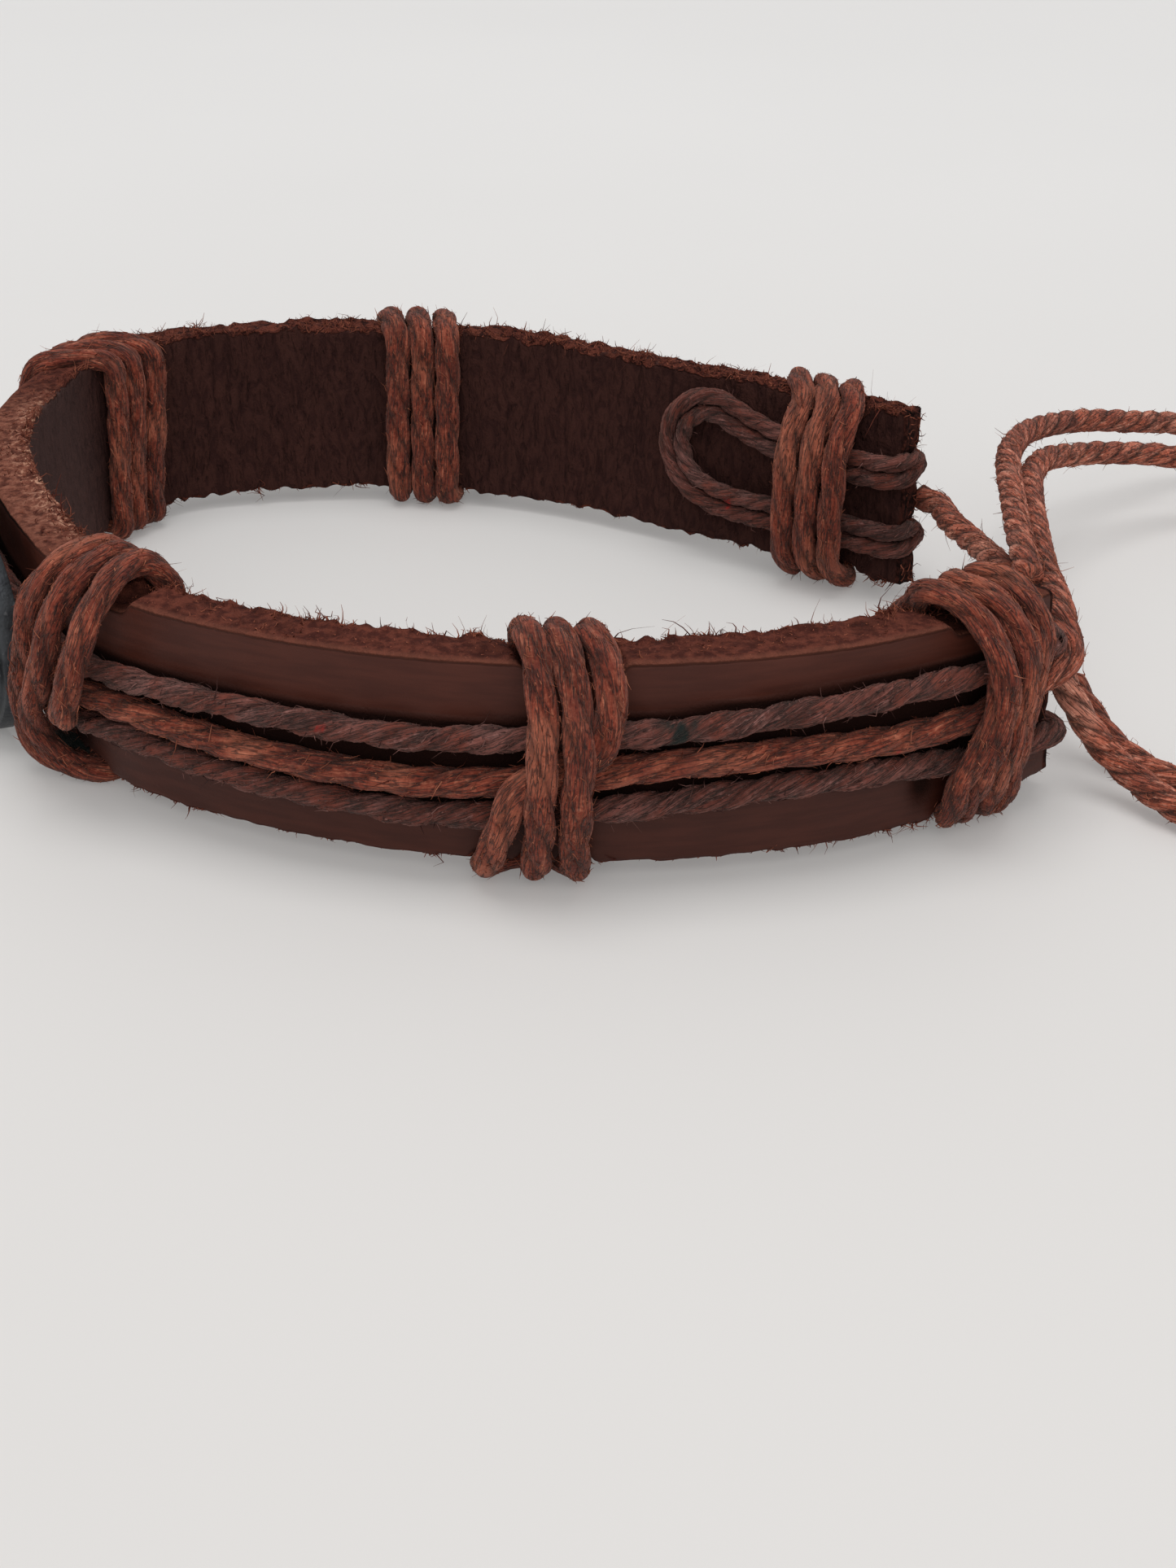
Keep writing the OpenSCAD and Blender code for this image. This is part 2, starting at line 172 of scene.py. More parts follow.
def lattice(cells, seed):
    x, y, z = (cells[..., i].astype(np.uint32) for i in range(3))
    h = x * np.uint32(73856093) ^ y * np.uint32(19349663) ^ z * np.uint32(83492791)
    h = h ^ np.uint32(seed * 7919 + 17)
    h = (h ^ (h >> np.uint32(13))) * np.uint32(1274126177)
    h = (h ^ (h >> np.uint32(15))) * np.uint32(2246822519)
    return ((h ^ (h >> np.uint32(16))) & np.uint32(0xFFFF)) / 65535


def noise(points, size, seed):
    """Soft random values from -1 to 1 over points, with lumps about size across"""
    p = np.asarray(points, float) / size + NOISE_START
    cell = np.floor(p).astype(np.int64)
    f = p - cell
    f = f * f * (3 - 2 * f)
    value = 0
    for corner in itertools.product((0, 1), repeat=3):
        weight = np.prod(np.where(corner, f, 1 - f), axis=-1)
        value = value + weight * lattice(cell + np.array(corner), seed)
    return value * 2 - 1


def line_noise(t, size, seed):
    return noise(np.stack([t, 0 * t, 0 * t], axis=-1), size, seed)


def unit(v):
    return v / np.maximum(np.linalg.norm(v, axis=-1, keepdims=True), 1e-12)


def strides(points):
    """Distance from each point to the next"""
    return np.linalg.norm(np.diff(points, axis=0), axis=1)


# Meshes and objects
def new_object(name, verts, faces, material):
    mesh = bpy.data.meshes.new(name)
    mesh.from_pydata(verts.tolist(), [], faces)
    mesh.materials.append(material)
    mesh.polygons.foreach_set("use_smooth", [True] * len(mesh.polygons))
    mesh.update()
    obj = bpy.data.objects.new(name, mesh)
    bpy.context.scene.collection.objects.link(obj)
    return obj


def finish_piece(obj, slot, *nodes):
    """Rides the piece on the bracelet, and hides the nodes that it stands for. slot, what it is made of, is
    not used
    """
    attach(obj, BODY)
    if nodes:
        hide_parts(*nodes)


def set_attribute(mesh, name, values):
    kind = "FLOAT" if np.ndim(values) == 1 else "FLOAT_VECTOR"
    data = mesh.attributes.new(name, kind, "POINT").data
    data.foreach_set("value" if kind == "FLOAT" else "vector", np.ravel(values))


def read_values(items, name, width=1, kind=float):
    """One value, or a row of them, from each of a mesh's points, faces or corners"""
    values = np.empty(len(items) * width, kind)
    items.foreach_get(name, values)
    return values.reshape(-1, width) if width > 1 else values


def read_points(mesh):
    return read_values(mesh.vertices, "co", 3)


def write_points(mesh, points):
    mesh.vertices.foreach_set("co", np.ravel(points))
    mesh.update()


def select_only(*objects):
    """Selects these objects alone, the first one active"""
    for obj in bpy.context.view_layer.objects:
        obj.select_set(obj in objects)
    if objects:
        bpy.context.view_layer.objects.active = objects[0]


def select_along(obj, axis):
    """In edit mode, selects only the edges that run along an axis"""
    bpy.context.tool_settings.mesh_select_mode = (False, True, False)
    bpy.ops.mesh.select_all(action="DESELECT")
    mesh = bmesh.from_edit_mesh(obj.data)
    for edge in mesh.edges:
        run = edge.verts[1].co - edge.verts[0].co
        edge.select = abs(run[axis]) > 0.99 * run.length
    bmesh.update_edit_mesh(obj.data)


def block(name, size, cuts=((), (), ())):
    """A box centred on the origin, cut into strips along each axis; one pass makes at most 100 cuts"""
    select_only()
    bpy.ops.mesh.primitive_cube_add(size=1)
    obj = bpy.context.object
    obj.name = obj.data.name = name
    obj.scale = size
    bpy.ops.object.transform_apply(location=False, rotation=False, scale=True)
    bpy.ops.object.mode_set(mode="EDIT")
    for axis, passes in enumerate(cuts):
        for count in passes:
            select_along(obj, axis)
            bpy.ops.mesh.subdivide(number_cuts=count)
    bpy.ops.object.mode_set(mode="OBJECT")
    return obj


# Cords: a route is rows of points and of lifts, its directions away from what it lies on. It is
# drawn through its stations in steps of about CURVE_STEP, and eased in steps of FINE_STEP. The
# random drift of a closed cord fades within MEETING of the place where its two ends meet.
CURVE_STEP = 0.08
FINE_STEP = 0.1
MEETING = 4


def even_steps(points, lifts, spacing, closed):
    """A route's points and lifts at even steps along it"""
    if closed:
        points, lifts = np.vstack([points, points[:1]]), np.vstack([lifts, lifts[:1]])
    run = np.concatenate([[0], np.cumsum(strides(points))])
    count = max(4, round(run[-1] / spacing))
    at = np.linspace(0, run[-1], count if closed else count + 1, endpoint=not closed)

    def pick(rows):
        return np.stack([np.interp(at, run, column) for column in rows.T], axis=1)

    return pick(points), unit(pick(lifts))


def through_stations(at, up, closed):
    """Close points on a smooth curve through the stations at, with their lifts up"""
    if closed:
        at, up = np.vstack([at[-2:], at, at[:3]]), np.vstack([up[-2:], up, up[:3]])
    else:
        at = np.vstack([2 * at[0] - at[1], at, 2 * at[-1] - at[-2]])
        up = np.vstack([up[0], up, up[-1]])
    chords = np.diff(at, axis=0)
    spans = np.sqrt(np.linalg.norm(chords, axis=1))[:, None]
    before, after = spans[:-1], spans[1:]
    slopes = np.zeros_like(at)
    slopes[1:-1] = (chords[:-1] / before * after + chords[1:] / after * before) / (before + after)
    first, last = (2, len(at) - 3) if closed else (1, len(at) - 2)
    points, lifts = [], []
    for i in range(first, last):
        count = max(4, int(np.linalg.norm(chords[i]) / CURVE_STEP))
        t = np.linspace(0, 1, count, endpoint=False)[:, None]
        points.append((2 * t**3 - 3 * t**2 + 1) * at[i] + (t**3 - 2 * t**2 + t) * spans[i] * slopes[i]
                      + (3 * t**2 - 2 * t**3) * at[i + 1] + (t**3 - t**2) * spans[i] * slopes[i + 1])
        lifts.append(up[i] * (1 - t) + up[i + 1] * t)
    if not closed:
        points.append(at[last])
        lifts.append(up[last])
    return np.vstack(points), np.vstack(lifts)


def eased(rows, ease, **margins):
    """Rows at fine steps, each averaged with its neighbours; margins say what lies past the ends"""
    reach = max(1, int(3 * ease / FINE_STEP))
    kernel = np.exp(-0.5 * (np.arange(-reach, reach + 1) * FINE_STEP / ease) ** 2)
    kernel /= kernel.sum()
    return np.stack([np.convolve(np.pad(column, reach, **margins), kernel, "valid") for column in rows.T],
                    axis=1)


def smooth_route(stations, lifts, spacing, closed=False, ease=0.35):
    """Even steps along a smooth line through the stations"""
    points, lifts = through_stations(np.asarray(stations, float), unit(np.asarray(lifts, float)), closed)
    points, lifts = even_steps(points, lifts, FINE_STEP, closed)
    if closed:
        points, lifts = eased(points, ease, mode="wrap"), eased(lifts, ease, mode="wrap")
    else:
        points = eased(points, ease, mode="reflect", reflect_type="odd")
        lifts = eased(lifts, ease, mode="reflect")
    return even_steps(points, unit(lifts), spacing, closed)


def side_and_lift(points, lifts, closed):
    """Two directions square to a route: to its side, and away from what it lies on"""
    if closed:
        ahead, behind = np.roll(points, -1, axis=0), np.roll(points, 1, axis=0)
    else:
        ahead, behind = np.vstack([points[1:], points[-1:]]), np.vstack([points[:1], points[:-1]])
    tangent = unit(ahead - behind)
    side = unit(np.cross(tangent, lifts))
    return side, np.cross(side, tangent)


def ends_fade(run, closed):
    """1 along a cord, fading to 0 where a closed one's random drift has to meet itself"""
    if not closed:
        return np.ones(len(run))
    return np.clip(np.minimum(run, run[-1] - run) / MEETING, 0, 1)


# Every cord has three plies, drawn with eight points round each. UV_SHIFT is how much further
# along its pattern each cord starts than the one with the seed before.
PLIES = 3
PLY_POINTS = 8
RING_POINTS = PLIES * PLY_POINTS
UV_SHIFT = 31.7
# Least heights of a cord's mesh and of a hair above the surface
LOWEST = 0.02
LOWEST_HAIR = 0.03


def ply_outline(tuck):
    """Distance of a twisted cord's outline from its middle, for the points round it; tuck sinks the
    grooves"""
    angle = (np.arange(RING_POINTS) % PLY_POINTS) / PLY_POINTS * 2 * math.pi / PLIES - math.pi / PLIES
    return tuck * np.cos(angle) + np.sqrt((1 - tuck) ** 2 - (tuck * np.sin(angle)) ** 2)


def twisted_cord(name, material, points, lifts, radius, lead, tuck, seed, closed=False, wide=1.0,
                 thin=1.0, wander=0.04, swell=0.04, taper=(0, 0), tint=0.0):
    """Mesh of a twisted cord along a route. lead is the length of one whole turn of its plies, and
    taper the lengths over which its two ends round off"""
    step = strides(points).mean()
    run = np.arange(len(points)) * step
    fade = ends_fade(run, closed)
    drift = np.stack([line_noise(run, 2.6, seed + axis) for axis in range(3)], axis=1)
    points = points + wander * drift * fade[:, None]
    side, lift = side_and_lift(points, lifts, closed)
    turns = len(points) * step / lead
    if closed:
        turns = max(1, round(turns * PLIES)) / PLIES
    phase = np.linspace(0, turns, len(points), endpoint=not closed) * 2 * math.pi
    phase = phase + 0.35 * line_noise(run, 5, seed + 9) * fade
    size = radius * (1 + swell * line_noise(run, 3.3, seed + 5) * fade)
    for length, edge in zip(taper, (run, run[-1] - run)):
        if length:
            size = size * np.sqrt(np.clip(edge / length, 0.02, 1))
    k = np.arange(RING_POINTS)
    angle = phase[:, None] + k / RING_POINTS * 2 * math.pi
    plies = np.stack(np.broadcast_arrays(run[:, None] / 1.4, k // PLY_POINTS * 7.3, seed * 1.0), axis=-1)
    r = size[:, None] * ply_outline(tuck) * (1 + 0.05 * noise(plies, 1.0, seed + 3))
    rings = points[:, None] + (r * wide * np.cos(angle))[..., None] * side[:, None] \
        + (r * thin * np.sin(angle))[..., None] * lift[:, None]
    rings[..., 2] = np.maximum(rings[..., 2], LOWEST)
    obj = cord_mesh(name, material, rings, step, closed, seed)
    spots = rings.reshape(-1, 3)
    set_attribute(obj.data, "tint", np.full(len(spots), float(tint)))
    set_attribute(obj.data, "spot", cord_stains_and_shade(spots))
    return obj


def cord_mesh(name, material, rings, step, closed, seed):
    """Walls between a cord's rings, and caps where it is open. Its UV map counts plies across and
    millimetres along"""
    n, count = rings.shape[:2]
    i, k = np.arange(n if closed else n - 1)[:, None], np.arange(count)
    ahead, beside = (i + 1) % n, (k + 1) % count
    walls = np.stack([i * count + k, i * count + beside, ahead * count + beside, ahead * count + k], axis=-1)
    faces = walls.reshape(-1, 4).tolist()
    row, column = np.divmod(np.arange(len(faces)), count)
    across, next_across = column / PLY_POINTS, column / PLY_POINTS + 1 / PLY_POINTS
    on_walls = 4 * len(faces)
    if not closed:
        faces += [k[::-1].tolist(), ((n - 1) * count + k).tolist()]
    obj = new_object(name, to_frame(rings.reshape(-1, 3)), faces, material)
    uv = np.zeros((len(obj.data.loops), 2))
    uv[:on_walls, 0] = np.stack([across, next_across, next_across, across], axis=1).ravel()
    uv[:on_walls, 1] = np.stack([row, row, row + 1, row + 1], axis=1).ravel() * step + seed * UV_SHIFT
    obj.data.uv_layers.new(name="plies").data.foreach_set("uv", uv.ravel())
    return obj


# Stains on the cords, and painted shade on a strand's end in the shadowed hole at the left bend: run,
# distance outwards, height and reach, then 1 for red or below 0 for dark
CORD_STAINS_AND_SHADE = (
    (40.7, 3.1, 8.9, 0.4, 1), (23.4, 3.0, 9.4, 1.3, -1), (BAND_L - 13.2, -3.0, 4.6, 0.6, 1),
    (12.5, 3.0, 7.0, 0.3, 1), (60.5, 1.6, 1.4, 1.6, -1.3))


def cord_stains_and_shade(points):
    """Where a cord is stained red, as 1, or nearly black, as -1: a dark speck, or painted shade in the
    shadowed hole at the left bend
    """
    mottle = 0.6 + 0.5 * noise(points, 0.35, 77)
    value = np.zeros(len(points))
    for s, n, z, reach, strength in CORD_STAINS_AND_SHADE:
        away = np.linalg.norm(points - place(s, n, z), axis=1)
        value = value + strength * np.exp(-(away / reach) ** 2) * mottle
    return value


# Places along the strap's middle line that a point's nearest one is chosen from
MIDDLE_SAMPLES = 800


def inside_share(points):
    """1 for points on the strap's inner side, 0 for those on its outer side"""
    runs = np.linspace(0, BAND_L, MIDDLE_SAMPLES)
    middle = place(runs, 0.0, FOOT_Z)[:, :2]
    nearest = np.argmin(((points[:, None, :2] - middle[None]) ** 2).sum(axis=2), axis=1)
    n = ((points[:, :2] - middle[nearest]) * outward(runs[nearest])[:, :2]).sum(axis=1)
    return np.clip((CORD_R - n) / (2 * CORD_R), 0, 1)


def paired_routes(points, lifts, lead, twisted_apart, flat_apart):
    """Middles of two thin cords, twisted round each other outside the strap and side by side inside it"""
    step = strides(points).mean()
    run = np.arange(len(points)) * step
    inside = inside_share(points)
    phase = np.cumsum((1 - inside) * 2 * math.pi * step / lead)
    # Each stretch inside is turned to a whole number of half turns, so that the two lie side by side
    anchors, shifts = [0.0], [0.0]
    flags = inside > 0.5
    starts, stops = np.flatnonzero(flags & ~np.roll(flags, 1)), np.flatnonzero(flags & ~np.roll(flags, -1))
    for a, b in zip(starts, stops):
        turned = phase[(a + b) // 2]
        anchors += [run[a], run[b]]
        shifts += [round(turned / math.pi) * math.pi - turned] * 2
    anchors.append(run[-1] + step)
    shifts.append(round(phase[-1] / (2 * math.pi)) * 2 * math.pi - phase[-1])
    phase = phase + np.interp(run, anchors, shifts)
    side, lift = side_and_lift(points, lifts, True)
    apart = (twisted_apart * (1 - inside) + flat_apart * inside)[:, None]
    off = apart * (np.cos(phase)[:, None] * side + 0.8 * np.sin(phase)[:, None] * lift)
    return points + off, points - off


# Hairs and fibres
def hair_mesh(name, material, roots, ways, lengths, radii, seed, curl, segments, sinks=0.0):
    """Tapered three-sided hairs that start at roots, leave in the directions ways and bend by sinks"""
    rng = np.random.default_rng(seed)
    n = len(roots)
    ways = unit(ways)
    across = unit(np.cross(ways, unit(rng.normal(size=(n, 3)))))
    other = np.cross(ways, across)
    t = np.linspace(0, 1, segments + 1)[None, :, None]
    bend = rng.normal(0, curl, (n, 1, 1))
    wave = rng.normal(0, curl * 0.35, (n, 1, 1))
    turn = rng.uniform(2, 7, (n, 1, 1))
    ways, across, other = ways[:, None], across[:, None], other[:, None]
    sinks = np.broadcast_to(sinks, (n, 3))[:, None]
    shape = t * ways + bend * t**2 * across + t**2 * sinks + wave * np.sin(t * turn) * other
    path = roots[:, None] + lengths[:, None, None] * shape
    size = radii[:, None, None] * (1 - 0.8 * t)
    points = np.stack([path + size * (math.cos(angle) * across + math.sin(angle) * other)
                       for angle in (0, 2 * math.pi / 3, 4 * math.pi / 3)], axis=2)
    points[..., 2] = np.maximum(points[..., 2], LOWEST_HAIR)
    corners = (segments + 1) * 3
    first = np.arange(n) * corners
    last = first + segments * 3
    base = first[:, None, None] + (np.arange(segments) * 3)[None, :, None]
    k = np.arange(3)[None, None, :]
    a, b = base + k, base + (k + 1) % 3
    faces = np.stack([a, b, b + 3, a + 3], axis=-1).reshape(-1, 4).tolist() \
        + np.stack([first + 2, first + 1, first], axis=1).tolist() \
        + np.stack([last, last + 1, last + 2], axis=1).tolist()
    obj = new_object(name, to_frame(points.reshape(-1, 3)), faces, material)
    set_attribute(obj.data, "tint", np.repeat(rng.uniform(0, 1, n), corners))
    return obj


def surface_spots(obj, count, rng):
    """Random spots on a cord's mesh, in millimetres, with their normals and the way its plies run there"""
    faces = obj.data.polygons
    area = read_values(faces, "area")
    pick = rng.choice(len(faces), count, p=area / area.sum())
    normal = read_values(faces, "normal", 3)[pick]
    spots = read_values(faces, "center", 3)[pick] / MM + MIDDLE
    first = read_values(faces, "loop_start", kind=np.int32)[pick]
    corners = read_values(obj.data.loops, "vertex_index", kind=np.int32)
    points = read_points(obj.data)
    slip = np.cross(normal, rng.normal(size=(count, 3))) * 0.08
    return spots + slip, normal, unit(points[corners[first + 3]] - points[corners[first]])


# Fibres on the cords: the share of them that stand off, and the longest
STAND_OFF_SHARE = 0.35
LONGEST_FUZZ = 1.1


def cord_fuzz(name, pieces, material, slot, seed, per_area):
    """Loose fibres on the cords: most lie along the plies, and some stand off them"""
    rng = np.random.default_rng(seed)
    found = []
    for obj in pieces:
        area = sum(face.area for face in obj.data.polygons) / MM**2
        found.append(surface_spots(obj, int(area * per_area), rng))
    spots, normals, along_ply = (np.vstack(rows) for rows in zip(*found))
    count = len(spots)
    loose = rng.random((count, 1)) < STAND_OFF_SHARE
    lean = np.where(loose, rng.uniform(0.5, 1.6, (count, 1)), rng.uniform(0.1, 0.35, (count, 1)))
    ways = along_ply * rng.choice((-1.0, 1.0), (count, 1)) + normals * lean \
        + np.cross(normals, along_ply) * rng.normal(0, 0.4, (count, 1))
    sinks = -normals * lean * rng.uniform(0.3, 1.1, (count, 1))
    loose = loose[:, 0]
    lengths = np.where(loose, 0.12 + rng.gamma(1.6, 0.12, count), 0.3 + rng.gamma(2.0, 0.16, count))
    radii = np.where(loose, 0.75, 1.0) * rng.uniform(0.026, 0.05, count)
    obj = hair_mesh(name, material, spots - normals * 0.02, ways, np.minimum(lengths, LONGEST_FUZZ),
                    radii, seed, curl=0.4, segments=2, sinks=sinks)
    finish_piece(obj, slot)


# Parts of the cut edges that fibres grow from: how many, how far from the two ends they stop,
# thickness and height there, how far the fibres lean along, outwards and up, and their usual length
FIBRE_ROWS = (
    (2700, (0.3, 0.3), (-1.5, -0.9), (5.9, 6.0), (0.8, -0.4, 0.75), 0.36),
    (1500, (0.3, 0.3), (-1.3, 1.0), (6.0, 6.0), (0.8, 0.1, 0.6), 0.17),
    (2500, (96, 0.3), (-1.5, 1.4), (5.85, 6.0), (0.8, -0.2, 0.8), 0.27),
    (1500, (0.3, 0.3), (1.0, 1.5), (-6.0, -5.9), (0.8, 0.7, -0.5), 0.25),
    (1100, (0.3, 0.3), (-1.5, -1.1), (-6.0, -5.9), (0.8, -0.7, -0.35), 0.36),
    (26, (20, 100), (-1.5, -1.2), (5.9, 6.0), (0.9, -0.3, 0.5), 1.2))
# The share of them that grow in tufts, the longest, and how many each cut end has
TUFTED_SHARE = 0.4
LONGEST_FIBRE = 1.8
END_FIBRES = 130


def edge_fibres(rng, count, margins, thick, height, lean, usual):
    """Roots, ways and lengths of the fibres on one part of the cut edges, many of them in tufts"""
    low, high = margins[0], BAND_L - margins[1]
    s = rng.uniform(low, high, count)
    tufted = rng.random(count) < TUFTED_SHARE
    tufts = rng.uniform(low, high, max(4, count // 32))
    s = np.where(tufted, np.clip(rng.choice(tufts, count) + rng.normal(0, 0.28, count), low, high), s)
    clump = np.clip(0.55 + 0.9 * line_noise(s, 2.4, int(usual * 100) + count), 0.15, 1.6)
    roots, _ = shape_strap(np.stack([s, rng.uniform(*thick, count), rng.uniform(*height, count)], axis=1))
    ways = along(s) * rng.normal(0, lean[0], (count, 1)) \
        + outward(s) * (lean[1] + rng.normal(0, 0.35, (count, 1))) \
        + UP * (lean[2] + rng.normal(0, 0.3, (count, 1)))
    lengths = (0.12 + rng.gamma(1.5, usual * 0.55, count)) * clump * (1 + 0.35 * tufted)
    return roots, ways, np.minimum(lengths, LONGEST_FIBRE)


def end_fibres(rng, end, way):
    """Roots, ways and lengths of the fibres on one cut end"""
    s = np.full(END_FIBRES, end)
    a = rng.uniform(-HALF_LEATHER, HALF_LEATHER, END_FIBRES)
    h = rng.uniform(-STRAP_WIDTH / 2, STRAP_WIDTH / 2, END_FIBRES)
    roots, _ = shape_strap(np.stack([s, a, h], axis=1))
    ways = along(s) * way + outward(s) * rng.normal(0, 0.5, (END_FIBRES, 1)) \
        + UP * rng.normal(0, 0.6, (END_FIBRES, 1))
    return roots, ways, 0.1 + rng.gamma(1.5, 0.14, END_FIBRES)


def leather_fibres(material):
    """Torn fibres of the strap's cut edges and ends"""
    rng = np.random.default_rng(5)
    grown = [edge_fibres(rng, *row) for row in FIBRE_ROWS]
    grown += [end_fibres(rng, end, way) for end, way in ((0.0, -1), (BAND_L, 1))]
    roots, ways, lengths = (np.concatenate(rows) for rows in zip(*grown))
    radii = rng.uniform(0.034, 0.075, len(roots))
    obj = hair_mesh("strap_fibres", material, roots - unit(ways) * 0.05, ways, lengths, radii, seed=6,
                    curl=1.0, segments=3)
    finish_piece(obj, "leather")


# Routes of the two ties, as in the part's source
NEAR_ROUTE = (
    (27.3, 10.5, 9.9), (27.4, 12.2, 10.2), (27.5, 15.4, 10.2), (27.8, 20, 10), (28.4, 25.6, 9.8),
    (29.2, 31, 9.4), (30.2, 36.6, 8.9), (32.2, 41.8, 8.2), (35.4, 45.6, 7.2), (39.4, 48.8, 6.1),
    (43.8, 50.8, 5), (48.4, 50.6, 3.6), (52.8, 48.4, 1.8), (56.4, 44.2, 0.9), (59.2, 38.8, 0.8),
    (60.8, 32.6, 0.8), (61.2, 26.2, 0.8), (60.2, 20, 0.8), (57.6, 14.4, 0.8), (53.4, 10, 0.8),
    (48.2, 7.2, 0.8), (42.8, 6.4, 0.8), (38.2, 7.4, 0.8), (34.4, 9.4, 0.8), (31.6, 11.9, 1.6),
    (30, 13.8, 3.2), (28.8, 14.8, 5))
FAR_ROUTE = (
    (24, 38.3, 6.5), (24.5, 37.2, 6.5), (24.6, 36, 6.6), (24.7, 33.8, 6.8), (25.6, 29.6, 7.1),
    (26.4, 23, 7.9), (26.7, 18.4, 8.2), (26.8, 15.8, 7.8), (27.1, 13.7, 7.1), (27.8, 12.2, 6.2),
    (28.5, 11.1, 5), (29.6, 10, 3.4),
    (31.3, 8.4, 2), (33.5, 5.6, 1.2), (37.4, 2.8, 0.9), (42.2, 1.2, 0.8), (47.6, 1, 0.8),
    (53, 2.5, 0.8), (58, 5.8, 0.8), (61.8, 10.6, 0.8), (64.4, 16.8, 0.8), (65.7, 25.2, 0.8),
    (65.4, 33.6, 0.8), (64.2, 40, 0.8), (62.3, 45.6, 0.8), (59.8, 50.6, 1),
    (56.6, 54.8, 1.8), (52.8, 57.8, 2.8), (48.8, 59.2, 3.9), (45.2, 58.6, 4.9), (41.6, 56.1, 5.9),
    (37.6, 53.2, 7), (34.2, 49.8, 7.9), (31.5, 45.8, 8.7), (29.7, 41.2, 9.3), (28.6, 36.6, 9.9),
    (27.4, 28.2, 10.7), (26.5, 20.4, 11.1), (26.1, 14.8, 10.9))
MIDDLE_FROM = 5.8
MIDDLE_TO = BAND_L - 0.8


def near_route():
    """The near tie, from the middle cord's end over the near cut end and on"""
    runs = np.array([MIDDLE_FROM - 2 * GAP, 4, 2.6])
    return np.vstack([place(runs, ON_LEATHER, level(runs, MIDDLE_CORD)),
                      place([1.0], ON_LEATHER + 0.2, 9), NEAR_ROUTE])


def far_route():
    """The far tie, from the middle cord's other end over the far cut end and on"""
    start = place(MIDDLE_TO + 2 * GAP, ON_LEATHER + GAP, level(MIDDLE_TO, MIDDLE_CORD))
    return np.vstack([start, FAR_ROUTE])


# Lashings: node, run of the middle of the strands at their inner top, strands, spacing inside and
# outside, then how far further along than that the strands lie at the inner foot and at the
# outer top, middle and foot, whether they cross the dark cord's loop inside, and the cord's radius
Lashing = namedtuple("Lashing", ("node", "at", "strands", "inner_step", "outer_step", "inner_foot", "top",
                                 "middle", "foot", "over_loop", "radius"))
LASHINGS = [Lashing(*row) for row in (
    ("lashing_near_end", 6.1, 4, 1.6, 1.54, -0.9, 0.5, 0.4, -0.1, True, 0.78),
    ("lashing_near_middle", 29.4, 3, 1.85, 1.7, -0.4, 0, -0.8, 1.2, False, 0.84),
    ("lashing_near_bend", 55.5, 3, 2.2, 2.0, 0.3, 0.2, 1.7, 2.3, False, 0.84),
    ("lashing_far_bend", 99.3, 3, 2.2, 2.2, -1.6, -2.4, -3.2, -0.2, False, 0.84),
    ("lashing_far_middle", 122.9, 3, 1.95, 1.95, -0.2, -1.4, -0.6, 1.3, False, 0.9),
    ("lashing_far_end", 155.6, 3, 1.85, 2.1, -0.1, -2.2, -0.4, 0.5, True, 0.85))]
# Order along the strap of the near end's strands, whose last two cross
CROSSED = (0, 1, 3, 2)
LOOP_HIGH = 9.4
LOOP_LOW = 4.3
EDGE_HIGH = TOP_Z - DENT + GAP + CORD_R
EDGE_LOW = CORD_R
# Stand-off of a strand beside a cut edge and on it, then how far its stations lie over and aside
# of a cord that it crosses, and how far within a cut edge
CORNER = ON_LEATHER - 0.1
SHOULDER = HALF_LEATHER - 0.1
OVER = 0.4
ASIDE = 1.4
WITHIN = 0.2
WELL_WITHIN = 1.8

